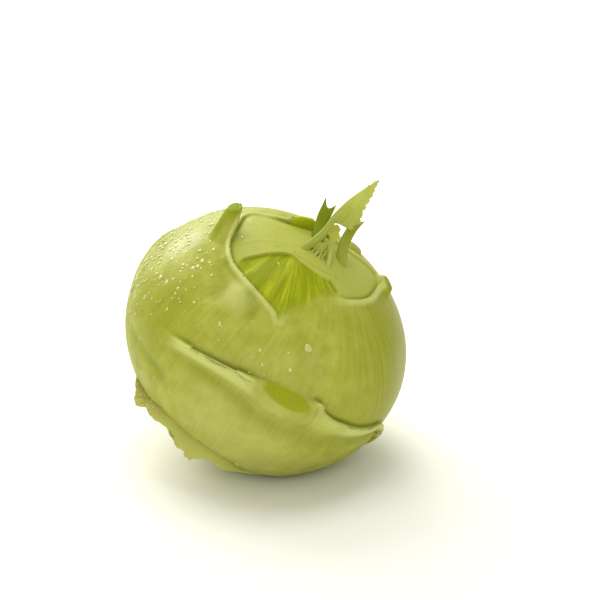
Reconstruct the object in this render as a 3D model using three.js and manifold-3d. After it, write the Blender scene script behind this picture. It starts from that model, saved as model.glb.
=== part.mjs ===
// A kohlrabi lying tilted on its side: the swollen stem with the bases of its cut leaves, and the
// young leaves in its crown.
// Millimetres, +Z up. The origin is the middle of the small flat spot it rests on. It is seen from -Y.

import * as THREE from "three";
import { mergeVertices } from "three/addons/utils/BufferGeometryUtils.js";
import Module from "manifold-3d";

const wasm = await Module();
wasm.setup();

const { degToRad, lerp, smoothstep } = THREE.MathUtils;

// Driving dimensions, in millimetres and degrees
const EQUATOR_RADIUS = 47.0;
const POLE_RADIUS = 38.4;
const CROWN_TILT = 32.5;
const CROWN_HEADING = -28.5;
const REST_DEPTH = 1.6;
const LEAF_THICKNESS = 0.7;
const SOCKET_DEPTH = 1.8;
const GAP = 0.3;

// The rim of a leaf base: the shares of its height in the rolled lip and in the valley below it, and
// the crease on the crown side of it. A wall as wide as HOLLOW_WALL is scooped out.
const LIP_SHARE = 0.72;
const VALLEY_SHARE = 0.34;
const CREASE_SHARE = 0.18;
const CREASE_WIDTH = 1.0;
const HOLLOW_WALL = { from: 2.5, to: 4.5, scoop: 0.8 };

// How finely the skin is divided: over the open skin, at the rims, and how far from them, with a
// share of the rim's roll added
const SPHERE_DETAIL = 11;
const OPEN_SPACING = 5.2;
const RIM_SPACING = 2.2;
const STUB_SPACING = 1.3;
const RIM_REACH = 3.2;
const ROLL_REACH = 1.0;
const DIVIDE_PASSES = 5;
const SNAP = 0.65;
const LOWEST_RIM = 0.2;

// The bulb's own directions: its axis towards the crown, longitude 0, which faces the front, and
// longitude 90, to the right
const axis = new THREE.Vector3(
  Math.sin(degToRad(CROWN_TILT)) * Math.cos(degToRad(CROWN_HEADING)),
  Math.sin(degToRad(CROWN_TILT)) * Math.sin(degToRad(CROWN_HEADING)),
  Math.cos(degToRad(CROWN_TILT)),
);
const front = new THREE.Vector3(0.02, -0.944, 0.33).projectOnPlane(axis).normalize();
const sideways = new THREE.Vector3().crossVectors(axis, front);

// The middle of the bulb stands over the origin's side, so that the flat spot's middle is the origin
const axisPart = axis.z * axis.z;
const standing = Math.sqrt(
  EQUATOR_RADIUS ** 2 * (1 - axisPart) + POLE_RADIUS ** 2 * axisPart,
);
const footPull = ((POLE_RADIUS ** 2 - EQUATOR_RADIUS ** 2) * axis.z) / standing;
const centre = new THREE.Vector3(axis.x * footPull, axis.y * footPull, standing - REST_DEPTH);

// A place on the bulb as a unit vector in its own directions
function unitAt(longitude, latitude) {
  const around = degToRad(longitude);
  const up = degToRad(latitude);
  return new THREE.Vector3(
    Math.cos(up) * Math.cos(around),
    Math.cos(up) * Math.sin(around),
    Math.sin(up),
  );
}

// The plain skin before any leaf base: a ball flattened along its axis
function plainSkin(unit) {
  return centre
    .clone()
    .addScaledVector(front, EQUATOR_RADIUS * unit.x)
    .addScaledVector(sideways, EQUATOR_RADIUS * unit.y)
    .addScaledVector(axis, POLE_RADIUS * unit.z);
}

// The unit vector of a place on or near the plain skin
function unitOf(place) {
  const off = place.clone().sub(centre);
  return new THREE.Vector3(
    off.dot(front) / EQUATOR_RADIUS,
    off.dot(sideways) / EQUATOR_RADIUS,
    off.dot(axis) / POLE_RADIUS,
  ).normalize();
}

function plainNormal(unit) {
  return new THREE.Vector3()
    .addScaledVector(front, unit.x / EQUATOR_RADIUS)
    .addScaledVector(sideways, unit.y / EQUATOR_RADIUS)
    .addScaledVector(axis, unit.z / POLE_RADIUS)
    .normalize();
}

// Leaf bases. Each rim is a list of [longitude, latitude, height, wall width, roll], with the crown on
// its left. The roll is the width of the rounded lip; the shoulder is how far the swelling runs down
// towards the root.
const LEAF_BASES = [
  {
    // The collar round the cap: front notch, right ear, back, standing back flap, left stub
    closed: true,
    shoulder: 8,
    tear: 0,
    rim: [
      [0, 45, 0.4, 0.8, 1.4],
      [2.5, 50.5, 0.1, 1.6, 2.5],
      [8, 55.5, 0.1, 2.4, 3],
      [18, 60.5, 0.15, 2.4, 3],
      [34, 65, 0.45, 1.8, 2.2],
      [51, 65.3, 0.8, 1, 1.8],
      [76, 64.7, 1, 0.9, 1.8],
      [100, 63.5, 0.9, 0.9, 1.8],
      [116, 60.5, 0.7, 0.9, 1.8],
      [128, 61, 0.6, 0.8, 1.5],
      [136, 66, 0.6, 0.8, 1.5],
      [146, 73, 0.7, 0.8, 1.5],
      [172, 77, 0.7, 0.8, 1.5],
      [202, 76.5, 1.6, 0.8, 1.5],
      [222, 75, 3.6, 0.8, 1.2],
      [238, 73, 3.4, 0.8, 1.2],
      [247, 69.5, 1.2, 0.8, 1.2],
      [252, 61, 0.4, 0.8, 1.5],
      [258, 55, 0.5, 0.8, 1.5],
      [268, 54.8, 1, 0.8, 1.4],
      [278, 54.8, 1.2, 0.8, 1.4],
      [288, 53.5, 1.3, 0.8, 1.4],
      [299, 51.6, 1.3, 0.8, 1.4],
      [314, 49.6, 1.2, 0.8, 1.4],
      [331, 49.6, 1.1, 0.8, 1.5],
      [344, 49.3, 0.9, 0.8, 1.5],
      [355, 47.5, 0.7, 0.8, 1.5],
    ],
  },
  {
    // The front leaf base, with the wide green cut where its stalk came off
    closed: false,
    shoulder: 10,
    tear: 0,
    rim: [
      [-56, 3, 0, 2.4, 3],
      [-42, 5.5, 0.15, 2.4, 3],
      [-33, 8.4, 0.6, 2, 2.5],
      [-24.5, 12, 1.4, 1.1, 2.3],
      [-16, 15, 2.2, 0.8, 2.6],
      [-5, 17.6, 2.9, 0.8, 3.4],
      [5, 18.5, 3.3, 1.7, 4.2],
      [9.5, 18, 3.5, 3.4, 4.6],
      [14, 16.3, 3.6, 5, 4.6],
      [19, 15.4, 3.6, 5.4, 4.6],
      [24, 15.5, 3.6, 5, 5],
      [28, 17.2, 3.5, 3.6, 5.6],
      [31.5, 20, 3.2, 1.2, 7],
      [34, 17.6, 3, 0.8, 6.8],
      [39, 15, 2.7, 0.8, 5.6],
      [46, 12.8, 2.3, 0.8, 4.6],
      [55, 10.2, 1.6, 0.8, 3.6],
      [65, 8.6, 1.3, 0.8, 2.6],
      [72, 7.5, 1.3, 0.8, 2],
      [76, 3, 1.6, 0.8, 1.4],
      [78.5, -3, 1.8, 0.8, 1.2],
      [79.5, -9, 1.2, 0.8, 1.2],
      [80, -15, 0, 0.8, 1.2],
    ],
  },
  {
    // The torn flap low on the left
    closed: false,
    shoulder: 7,
    tear: 0.14,
    rim: [
      [-46, -34, 0, 0.8, 1],
      [-42, -35, 1.8, 0.8, 1],
      [-38, -35.5, 3.5, 0.8, 1],
      [-33, -35.5, 4, 0.8, 1],
      [-29, -34, 3, 0.8, 1],
      [-23, -31.5, 3.2, 0.8, 1],
      [-16, -31, 3.2, 0.8, 1],
      [-9, -32.8, 3.8, 0.8, 1],
      [-5, -33.5, 4.8, 0.8, 1],
      [-2, -33.8, 6, 0.8, 1],
      [2, -34, 4.2, 0.8, 1],
      [8, -35, 3.2, 0.8, 1],
      [16, -37.6, 2.4, 0.8, 1],
      [26, -40.5, 1.2, 0.8, 1],
      [38, -42, 0, 0.8, 1],
    ],
  },
  {
    // A leaf base at the back, half way up
    closed: false,
    shoulder: 10,
    tear: 0,
    rim: [
      [108, 8, 0, 1, 2],
      [124, 18, 1.2, 0.8, 2.5],
      [142, 27, 1.8, 0.8, 3.5],
      [158, 30, 2.6, 3.2, 4.5],
      [170, 29, 2.6, 3.2, 4.5],
      [186, 22, 1.6, 0.8, 3.5],
      [206, 12, 1, 0.8, 2.5],
      [222, 4, 0, 1, 2],
    ],
  },
  {
    // A leaf base at the left and back
    closed: false,
    shoulder: 10,
    tear: 0,
    rim: [
      [202, -4, 0, 1, 2],
      [224, 5, 0.9, 0.8, 2.5],
      [240, 9, 1.3, 0.8, 3],
      [252, 8, 1.6, 3.2, 3.5],
      [262, 3, 1.4, 3.2, 3.5],
      [270, -5, 0.8, 0.8, 2],
      [277, -15, 0.4, 0.8, 1.5],
      [282, -25, 0, 1, 1.5],
    ],
  },
  {
    // An old leaf base low on the right and back
    closed: false,
    shoulder: 9,
    tear: 0.1,
    rim: [
      [84, -24, 0, 1, 1.5],
      [98, -18, 1.3, 0.8, 1.8],
      [112, -15, 2, 1.6, 2],
      [126, -17, 1.8, 1.2, 2],
      [148, -25, 1, 0.8, 1.8],
      [172, -32, 0, 1, 1.5],
    ],
  },
];

// Stubs of cut leaf stalks: place, half width and half thickness at the foot, height, and the
// direction in which each points
const STALK_STUBS = [
  { at: [-71, 49], half: [3.6, 3], height: 9.8, towards: [0.42, 0.02, 0.9] },
  { at: [117, 58.5], half: [3.7, 2.4], height: 2.6, towards: [0.8, -0.15, 0.6] },
  { at: [155, 67], half: [2.6, 2.2], height: 1.6, towards: [0.55, 0.3, 0.78] },
];

// The fan: the older skin that dips between the cap's edge and the collar. Its edge is a list of
// [longitude, latitude, share of the full depth].
const FAN = {
  depth: 0.65,
  lip: 0.3,
  reach: 15,
  edge: [
    [-42.5, 51, 0],
    [-44.5, 55, 0.9],
    [-44, 60, 1],
    [-43, 65, 1],
    [-40.5, 70, 1],
    [-34, 73.3, 0.8],
    [-20, 74.3, 0.4],
    [0, 74.6, 0.2],
    [18, 73.8, 0.2],
    [29, 73, 0.35],
    [38, 68.5, 0.3],
    [44, 64, 0],
  ],
};

// Soft swellings and hollows of the skin: place, height and radius
const SWELLINGS = [
  { at: [-24, 42], height: 1.3, radius: 7 },
  { at: [-41, 30], height: 0.7, radius: 9 },
  { at: [-21, 63], height: 0.7, radius: 7 },
  { at: [-64, 43], height: 0.8, radius: 5 },
  { at: [-35, 41], height: -1.3, radius: 5 },
  { at: [-12, 41], height: -1.1, radius: 4 },
  { at: [64, 50], height: -0.5, radius: 7 },
  { at: [92, 25], height: -0.6, radius: 9 },
  { at: [84, 0], height: -1.0, radius: 12 },
  { at: [-75, 25], height: -1.0, radius: 12 },
  { at: [-95, 35], height: -0.8, radius: 12 },
  { at: [40, -38], height: 1.0, radius: 12 },
  { at: [0, 88], height: 0.6, radius: 8 },
  { at: [75, -62], height: 0.9, radius: 14 },
];

const ROOT_STUB = { radius: 5.5, height: 3.2 };

// Signed distance from a line on the skin, with what its points hold there after the first two
function makeLine(points, closed) {
  const nodes = points.map(([longitude, latitude]) => plainSkin(unitAt(longitude, latitude)));
  const curve = new THREE.CatmullRomCurve3(nodes, closed, "centripetal");
  const spans = closed ? points.length : points.length - 1;
  const steps = spans * 4;
  const samples = Array.from({ length: steps + 1 }, (_, i) => curve.getPoint(i / steps));
  const valueAt = (column, share) => {
    const place = share * spans;
    const from = Math.min(Math.floor(place), spans - 1);
    const next = (from + 1) % points.length;
    return lerp(points[from][column], points[next][column], place - from);
  };
  const segment = new THREE.Line3();
  const foot = new THREE.Vector3();
  return (place, normal) => {
    let best = { distance: Infinity };
    for (let i = 0; i < steps; i += 1) {
      segment.set(samples[i], samples[i + 1]);
      const part = segment.closestPointToPointParameter(place, true);
      segment.at(part, foot);
      const distance = foot.distanceTo(place);
      if (distance < best.distance) {
        const along = samples[i + 1].clone().sub(samples[i]);
        const off = place.clone().sub(foot);
        const side = along.cross(off).dot(normal) > 0 ? -1 : 1;
        const outward = off.clone().multiplyScalar(side / Math.max(distance, 1e-6));
        best = { distance, share: (i + part) / steps, signed: distance * side, outward };
      }
    }
    const [height, wall, roll] = [2, 3, 4].map((column) => valueAt(column, best.share));
    return { ...best, height, wall, roll };
  };
}

// The torn edge's teeth, as a share of the flap's height
function tornShare(share, tear) {
  const coarse = Math.sin(share * 37 + 1);
  const fine = Math.abs(Math.sin(share * 71)) - 0.5;
  return 1 + tear * (coarse + fine);
}

// Height of the skin beside a rim: rolled lip, valley and shoulder towards the root, crease towards
// the crown
function besideRim(signed, { height, wall, roll }, shoulder) {
  if (signed > 0) {
    const lip = LIP_SHARE * (1 - smoothstep(signed, 0.3 * roll, 1.35 * roll));
    const valley = VALLEY_SHARE * Math.exp(-(((signed - 1.6 * roll) / (0.7 * roll)) ** 2));
    const slope = (1 - LIP_SHARE) * (1 - smoothstep(signed, 0, Math.max(shoulder, 1.8 * roll)));
    return height * (lip + slope - valley);
  }
  const scoop = HOLLOW_WALL.scoop * smoothstep(wall, HOLLOW_WALL.from, HOLLOW_WALL.to);
  const climb = smoothstep(signed, -wall, 0) ** (1 + scoop);
  const narrow = 1 - 0.8 * smoothstep(wall, 1, 2);
  const crease = CREASE_SHARE * narrow * Math.exp(-(((signed + wall) / CREASE_WIDTH) ** 2));
  return lerp(-crease * height, height, climb);
}

const leafBases = LEAF_BASES.map((base) => ({ ...base, line: makeLine(base.rim, base.closed) }));
const fanEdge = makeLine(FAN.edge, false);

// The fan dips on the root side of the cap's edge and fades away from it
function fanDip(place, normal) {
  const near = fanEdge(place, normal);
  if (near.signed > 0) {
    const step = smoothstep(near.signed, 0, 0.8);
    return -FAN.depth * near.height * step * (1 - smoothstep(near.signed, 3, FAN.reach));
  }
  return FAN.lip * near.height * Math.exp(near.signed / 3);
}

// How far a place is from a stub's foot, as a share of the foot's own size
function stubShare(stub, place) {
  const unit = unitAt(...stub.at);
  const normal = plainNormal(unit);
  const east = new THREE.Vector3().crossVectors(axis, normal).normalize();
  const north = new THREE.Vector3().crossVectors(normal, east);
  const off = place.clone().sub(plainSkin(unit));
  const [wide, thick] = stub.half;
  return Math.hypot(off.dot(east) / wide, off.dot(north) / thick, off.dot(normal) / wide);
}

// The finished skin at a place: where it lies, and how finely it is divided there
function skinAt(unit) {
  const place = plainSkin(unit);
  const normal = plainNormal(unit);
  const fan = fanDip(place, normal);
  let raised = Math.max(0, fan);
  let sunk = Math.min(0, fan);
  let spacing = OPEN_SPACING;
  for (const base of leafBases) {
    const near = base.line(place, normal);
    const height = near.height * tornShare(near.share, base.tear);
    const lift = besideRim(near.signed, { ...near, height }, base.shoulder);
    raised = Math.max(raised, lift);
    sunk = Math.min(sunk, lift);
    const reach = RIM_REACH + ROLL_REACH * near.roll;
    const closeness = 1 - smoothstep(near.distance, near.wall, Math.max(reach, near.wall + 1));
    const wanted = lerp(OPEN_SPACING, RIM_SPACING, closeness * Math.min(1, height / 0.8));
    spacing = Math.min(spacing, wanted);
  }
  let soft = 0;
  for (const { at, height, radius } of SWELLINGS) {
    const apart = place.distanceTo(plainSkin(unitAt(...at))) / radius;
    soft += height * Math.exp(-apart * apart);
  }
  const fromRoot = place.distanceTo(plainSkin(unitAt(0, -90)));
  const root = ROOT_STUB.height * (1 - smoothstep(fromRoot, ROOT_STUB.radius, ROOT_STUB.radius + 2));
  const stretch = new THREE.Vector3();
  let stood = 0;
  for (const stub of STALK_STUBS) {
    const share = stubShare(stub, place);
    const rise = 1 - smoothstep(share, 0.72, 1.5);
    stretch.addScaledVector(new THREE.Vector3(...stub.towards).normalize(), stub.height * rise);
    stood = Math.max(stood, rise);
    spacing = Math.min(spacing, lerp(STUB_SPACING, OPEN_SPACING, smoothstep(share, 1.5, 2.4)));
  }
  place.addScaledVector(normal, raised * (1 - stood) + sunk + soft + root).add(stretch);
  place.z = Math.max(place.z, 0);
  return { place, spacing };
}

// Splits one triangle at the middles of its long edges
function splitTriangle([a, b, c], middleOf) {
  const ab = middleOf(a, b);
  const bc = middleOf(b, c);
  const ca = middleOf(c, a);
  const marks = [ab, bc, ca].filter((middle) => middle !== undefined).length;
  if (marks === 0) return [[a, b, c]];
  if (marks === 3) return [[a, ab, ca], [ab, b, bc], [ca, bc, c], [ab, bc, ca]];
  if (marks === 2 && ab === undefined) return [[c, ca, bc], [ca, a, b], [ca, b, bc]];
  if (marks === 2 && bc === undefined) return [[a, ab, ca], [ab, b, c], [ab, c, ca]];
  if (marks === 2) return [[b, bc, ab], [bc, c, a], [bc, a, ab]];
  if (ab !== undefined) return [[a, ab, c], [ab, b, c]];
  if (bc !== undefined) return [[b, bc, a], [bc, c, a]];
  return [[c, ca, b], [ca, a, b]];
}

// Divides the ball's triangles until no edge of the finished skin is longer than wanted there
function divideSkin(units, triangles) {
  const surveyed = units.map(skinAt);
  let current = triangles;
  for (let pass = 0; pass < DIVIDE_PASSES; pass += 1) {
    const marked = new Set();
    const key = (a, b) => (a < b ? `${a} ${b}` : `${b} ${a}`);
    const lengthOf = (a, b) => surveyed[a].place.distanceTo(surveyed[b].place);
    const edgesOf = ([a, b, c]) => [[a, b], [b, c], [c, a]];
    const isLong = ([a, b]) => {
      const wanted = Math.min(surveyed[a].spacing, surveyed[b].spacing);
      return lengthOf(a, b) > wanted * 1.35;
    };
    for (const triangle of current) {
      for (const edge of edgesOf(triangle)) {
        if (isLong(edge)) marked.add(key(...edge));
      }
    }
    // A triangle with a marked edge is also split at its longest, which keeps the triangles well shaped
    for (let grew = marked.size > 0; grew; ) {
      grew = false;
      for (const triangle of current) {
        const edges = edgesOf(triangle);
        if (!edges.some((edge) => marked.has(key(...edge)))) continue;
        const longest = edges.reduce((p, q) => (lengthOf(...p) > lengthOf(...q) ? p : q));
        if (!marked.has(key(...longest))) {
          marked.add(key(...longest));
          grew = true;
        }
      }
    }
    if (marked.size === 0) break;
    const middles = new Map();
    const middleOf = (a, b) => {
      const name = key(a, b);
      if (!marked.has(name)) return undefined;
      if (!middles.has(name)) {
        const middle = units[a].clone().add(units[b]).normalize();
        middles.set(name, units.length);
        units.push(middle);
        surveyed.push(skinAt(middle));
      }
      return middles.get(name);
    };
    current = current.flatMap((triangle) => splitTriangle(triangle, middleOf));
  }
  return current;
}

// Lays corners exactly along the top or the foot of a rim, so that its edge is crisp
function traceRim(units, triangles, base, offsetAt) {
  const gaps = units.map((unit, index) => {
    const place = plainSkin(unit);
    const near = base.line(place, plainNormal(unit));
    const gap = near.signed - offsetAt(near);
    const counts = near.height > LOWEST_RIM;
    if (!counts || Math.abs(gap) > SNAP) return { gap, counts };
    units[index] = unitOf(place.addScaledVector(near.outward, -gap));
    return { gap: 0, counts };
  });
  const crossings = new Map();
  const crossingOf = (a, b) => {
    const [low, high] = a < b ? [a, b] : [b, a];
    const { gap: from, counts: first } = gaps[low];
    const { gap: to, counts: second } = gaps[high];
    if (!first || !second || from * to >= 0) return undefined;
    const name = `${low} ${high}`;
    if (!crossings.has(name)) {
      crossings.set(name, units.length);
      units.push(units[low].clone().lerp(units[high], from / (from - to)).normalize());
    }
    return crossings.get(name);
  };
  return triangles.flatMap((triangle) => splitTriangle(triangle, crossingOf));
}

function closedGeometry(places, triangles) {
  const geometry = new THREE.BufferGeometry().setFromPoints(places);
  geometry.setIndex(triangles.flat());
  return geometry;
}

function bulbSkin() {
  const ball = new THREE.IcosahedronGeometry(1, SPHERE_DETAIL);
  ball.deleteAttribute("normal");
  ball.deleteAttribute("uv");
  const merged = mergeVertices(ball, 1e-5);
  const position = merged.getAttribute("position");
  const units = Array.from({ length: position.count }, (_, i) =>
    new THREE.Vector3().fromBufferAttribute(position, i).normalize(),
  );
  const corners = Array.from(merged.getIndex().array);
  const triangles = Array.from({ length: corners.length / 3 }, (_, i) =>
    corners.slice(3 * i, 3 * i + 3),
  );
  let divided = divideSkin(units, triangles);
  for (const base of leafBases) {
    divided = traceRim(units, divided, base, () => 0);
    divided = traceRim(units, divided, base, (near) => -near.wall);
  }
  return closedGeometry(units.map((unit) => skinAt(unit).place), divided);
}

function toSolid(geometry) {
  return new wasm.Manifold(
    new wasm.Mesh({
      numProp: 3,
      vertProperties: new Float32Array(geometry.getAttribute("position").array),
      triVerts: new Uint32Array(geometry.getIndex().array),
    }),
  );
}

function toGeometry(solid) {
  const { vertProperties, triVerts } = solid.getMesh();
  const geometry = new THREE.BufferGeometry();
  geometry.setAttribute("position", new THREE.BufferAttribute(vertProperties, 3));
  geometry.setIndex(new THREE.BufferAttribute(triVerts, 1));
  return geometry;
}

// A closed solid through rings of equally many points, capped at both ends
function loft(rings) {
  const count = rings[0].length;
  const places = rings.flat();
  const triangles = [];
  for (let row = 0; row + 1 < rings.length; row += 1) {
    for (let i = 0; i < count; i += 1) {
      const next = (i + 1) % count;
      const a = row * count + i;
      const b = row * count + next;
      triangles.push([a, b, b + count], [a, b + count, a + count]);
    }
  }
  const middleOf = (ring) =>
    ring.reduce((sum, point) => sum.add(point), new THREE.Vector3()).divideScalar(count);
  const first = places.push(middleOf(rings[0])) - 1;
  const last = places.push(middleOf(rings.at(-1))) - 1;
  const top = (rings.length - 1) * count;
  for (let i = 0; i < count; i += 1) {
    const next = (i + 1) % count;
    triangles.push([first, next, i], [last, top + i, top + next]);
  }
  return closedGeometry(places, triangles);
}

const vector = (point) => new THREE.Vector3(...point);

// The crown's own directions: from the middle of the crown to the front, to the right and outward
const crownPlace = plainSkin(unitAt(0, 90));

// One row of a leaf or stalk: its middle, its left and right tips, and its half thickness
function leafRing({ middle, left, right, normal, half, swell }) {
  const tip = LEAF_THICKNESS / 2 + swell;
  const body = half + swell;
  const ring = [];
  const sides = [
    { end: right, rise: 1 },
    { end: left, rise: 1 },
    { end: left, rise: -1 },
    { end: right, rise: -1 },
  ];
  for (const [index, { end, rise }] of sides.entries()) {
    const reach = end.clone().sub(middle);
    const width = reach.length();
    const across = reach.clone().normalize();
    const stations = [
      [width + swell, Math.min(tip, body)],
      [Math.max(width * 0.6, Math.min(half, width) * 0.85) + swell * 0.7, lerp(tip, body, 0.35)],
      [Math.min(half, width) * 0.6, body * 0.85],
    ];
    const ordered = index % 2 === 0 ? stations : [...stations].reverse();
    for (const [away, thick] of ordered) {
      ring.push(
        middle.clone().addScaledVector(across, away).addScaledVector(normal, rise * thick),
      );
    }
  }
  return ring;
}

// Rows of a leaf along its rib. edge gives the place of each blade edge, or nothing on a bare stalk.
function leafRings({ rib, rows, half, edges, side, swell = 0 }) {
  const curve = new THREE.CatmullRomCurve3(rib.map(vector), false, "centripetal");
  const rings = [];
  for (let row = 0; row <= rows; row += 1) {
    const share = row / rows;
    const middle = curve.getPoint(share);
    const along = curve.getTangent(share);
    const thick = half(share);
    const bare = vector(side).projectOnPlane(along).normalize();
    const { left = 0, right = 0 } = edges(share, row);
    const toRight = right.isVector3 ? right.clone().sub(middle) : bare.clone().multiplyScalar(right);
    const toLeft = bare.clone().multiplyScalar(-left);
    const normal = new THREE.Vector3().crossVectors(along, toRight).normalize();
    rings.push(
      leafRing({
        middle,
        left: middle.clone().add(toLeft),
        right: middle.clone().add(toRight),
        normal,
        half: thick,
        swell,
      }),
    );
  }
  return rings;
}

// The tallest young leaf: a rib that curves up to the right, with a toothed blade on its right
const YOUNG_LEAF = {
  side: [-0.4, 1, 0],
  rows: 26,
  rib: [
    [5.6, -6.0, -SOCKET_DEPTH],
    [3.4, -4.1, 2.4],
    [1.8, -2.9, 7.2],
    [0.1, -2.7, 12.3],
    [-0.7, -2.3, 15.0],
    [-1.5, -1.7, 18.0],
    [-2.6, 0.1, 23.1],
    [-3.2, 1.1, 25.4],
    [-4.2, 2.5, 28.2],
  ],
  bladeFrom: 0.345,
  bladeEdge: [
    [-0.6, 3.4, 10.3],
    [-1.7, 4.6, 13.9],
    [-2.3, 3.8, 16.6],
    [-2.8, 3.5, 19.0],
    [-3.3, 3.3, 21.5],
    [-3.6, 3.3, 23.7],
    [-3.8, 2.8, 25.6],
    [-4.2, 3.0, 28.0],
  ],
  teeth: [0.6, -0.5, 0.35, -0.7],
};

function youngLeafRings(swell) {
  const edge = new THREE.CatmullRomCurve3(YOUNG_LEAF.bladeEdge.map(vector));
  const half = (share) => lerp(1.35, 0.4, smoothstep(share, 0, 0.9));
  return leafRings({
    ...YOUNG_LEAF,
    swell,
    half,
    edges: (share, row) => {
      const left = half(share);
      if (share < YOUNG_LEAF.bladeFrom) return { left, right: half(share) };
      const blade = (share - YOUNG_LEAF.bladeFrom) / (1 - YOUNG_LEAF.bladeFrom);
      const out = YOUNG_LEAF.teeth[row % YOUNG_LEAF.teeth.length];
      const tooth = vector(YOUNG_LEAF.side).normalize().multiplyScalar(out * (1 - blade));
      return { left, right: edge.getPoint(blade).add(tooth) };
    },
  });
}

// The small crinkled leaf on its thin stem, in front
const HEART_LEAF = {
  side: [-0.5, 0.85, 0],
  rows: 14,
  rib: [
    [7.9, 4.0, -SOCKET_DEPTH],
    [6.4, 3.3, 0.2],
    [4.2, 2.2, 2.0],
    [2.4, 1.2, 3.9],
    [0.8, 0.3, 5.8],
    [-0.8, -0.5, 7.7],
    [-1.8, -0.8, 9.0],
  ],
  bladeFrom: 0.5,
  width: 1.7,
};

function heartLeafRings(swell) {
  const half = (share) => lerp(0.75, 0.4, share);
  return leafRings({
    ...HEART_LEAF,
    swell,
    half,
    edges: (share, row) => {
      const blade = smoothstep(share, HEART_LEAF.bladeFrom, HEART_LEAF.bladeFrom + 0.2);
      const tooth = row % 2 === 0 ? 1 : 0.75;
      const narrow = 1 - 0.5 * smoothstep(share, 0.85, 1);
      const width = lerp(half(share), HEART_LEAF.width * tooth * narrow, blade);
      return { left: width, right: width };
    },
  });
}

// Broken leaf stalks: an oval section that ends in a jagged tear
const STALK_BACK = {
  side: [0.1, 1, 0],
  rows: 10,
  width: [2.2, 2.0],
  thickness: [1.3, 1.0],
  jag: [1.6, 0.3, -0.6, 0.2, 2.4, 0.4, -0.4, 0.2],
  rib: [
    [-2.6, -3.2, -SOCKET_DEPTH],
    [-4.6, -4.2, 1.2],
    [-6.4, -5.0, 3.6],
    [-7.5, -5.8, 6.0],
    [-9.0, -6.3, 9.0],
  ],
};

const STALK_RIGHT = {
  side: [0.25, 1, 0.1],
  rows: 10,
  width: [1.9, 1.5],
  thickness: [1.5, 1.0],
  jag: [2.0, 1.2, 0.2, -0.4, -0.6, -0.2, 0.4, 1.0],
  rib: [
    [1.2, 7.0, -SOCKET_DEPTH],
    [-0.4, 6.0, 0.4],
    [-2.6, 4.7, 2.4],
    [-4.4, 3.9, 5.2],
    [-5.9, 3.7, 8.5],
    [-6.8, 4.0, 11.0],
  ],
};

const STALK_SIDES = 12;

function stalkRings({ rib, rows, side, width, thickness, jag }, swell) {
  const curve = new THREE.CatmullRomCurve3(rib.map(vector), false, "centripetal");
  const rings = [];
  for (let row = 0; row <= rows; row += 1) {
    const share = row / rows;
    const middle = curve.getPoint(share);
    const along = curve.getTangent(share);
    const across = vector(side).projectOnPlane(along).normalize();
    const normal = new THREE.Vector3().crossVectors(across, along);
    const wide = lerp(...width, share) + swell;
    const thick = lerp(...thickness, share) + swell;
    const ring = [];
    for (let i = 0; i < STALK_SIDES; i += 1) {
      const angle = (-2 * Math.PI * i) / STALK_SIDES;
      const tear = row === rows ? jag[i % jag.length] : 0;
      ring.push(
        middle
          .clone()
          .addScaledVector(across, wide * Math.cos(angle))
          .addScaledVector(normal, thick * Math.sin(angle))
          .addScaledVector(along, tear),
      );
    }
    rings.push(ring);
  }
  return rings;
}

// The tuft of tiny stems in the heart, joined at a low mound
const HEART_STEMS = [
  [[6.9, -1.4, -0.6], [4.9, -1.6, 1.5], [3.2, -1.2, 3.4]],
  [[5.8, -3.3, -0.8], [4.6, -2.5, 1.2], [3.4, -1.9, 3.0]],
  [[4.6, 0.3, -0.8], [3.6, -0.2, 1.8], [2.4, -0.6, 3.8]],
  [[2.8, 0.9, -0.8], [2.0, 0.5, 1.6], [1.2, -0.2, 3.4]],
];
const STEM_HALF = 0.5;
const MOUND = { middle: [4.2, -0.9, -1.2], half: [3.0, 2.6], height: 1.9 };

function stemGeometry(points, swell) {
  return loft(
    stalkRings(
      {
        rib: points,
        rows: 5,
        side: [0, 1, 0],
        width: [STEM_HALF + 0.15, STEM_HALF - 0.12],
        thickness: [STEM_HALF + 0.15, STEM_HALF - 0.12],
        jag: [0],
      },
      swell,
    ),
  );
}

function moundGeometry(swell) {
  const [x, y, z] = MOUND.middle;
  const rib = [
    [x, y, z - swell],
    [x, y, z + MOUND.height + swell],
  ];
  const [wide, thick] = MOUND.half;
  const size = { rib, rows: 3, side: [0, 1, 0], width: [thick, thick * 0.8], jag: [0] };
  return loft(stalkRings({ ...size, thickness: [wide, wide * 0.8] }, swell));
}

function heartBudsSolid(swell) {
  return HEART_STEMS.reduce(
    (joined, points) => joined.add(toSolid(stemGeometry(points, swell))),
    toSolid(moundGeometry(swell)),
  );
}

const crownPieces = {
  young_leaf: (swell) => toSolid(loft(youngLeafRings(swell))),
  stalk_back: (swell) => toSolid(loft(stalkRings(STALK_BACK, swell))),
  stalk_right: (swell) => toSolid(loft(stalkRings(STALK_RIGHT, swell))),
  heart_leaf: (swell) => toSolid(loft(heartLeafRings(swell))),
  heart_buds: (swell) => heartBudsSolid(swell),
};

// Materials
const finishes = {
  skin: { color: 0xa9ab55, roughness: 0.45 },
  leaf: { color: 0xb9be48, roughness: 0.55 },
  stalk: { color: 0x7f8c1e, roughness: 0.5 },
  heart: { color: 0xc3c767, roughness: 0.5 },
};

function meshNamed(name, geometry, finish) {
  const material = new THREE.MeshStandardMaterial({ ...finishes[finish], metalness: 0 });
  const mesh = new THREE.Mesh(geometry, material);
  mesh.name = name;
  return mesh;
}

// The bulb, with a plain socket in its crown for each piece that stands there
const crownFrame = new THREE.Matrix4().makeBasis(front, sideways, axis).setPosition(crownPlace);

function bulbWithSockets() {
  let solid = toSolid(bulbSkin());
  for (const piece of Object.values(crownPieces)) {
    const socket = toGeometry(piece(GAP)).applyMatrix4(crownFrame);
    solid = solid.subtract(toSolid(socket));
  }
  return toGeometry(solid);
}

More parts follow.
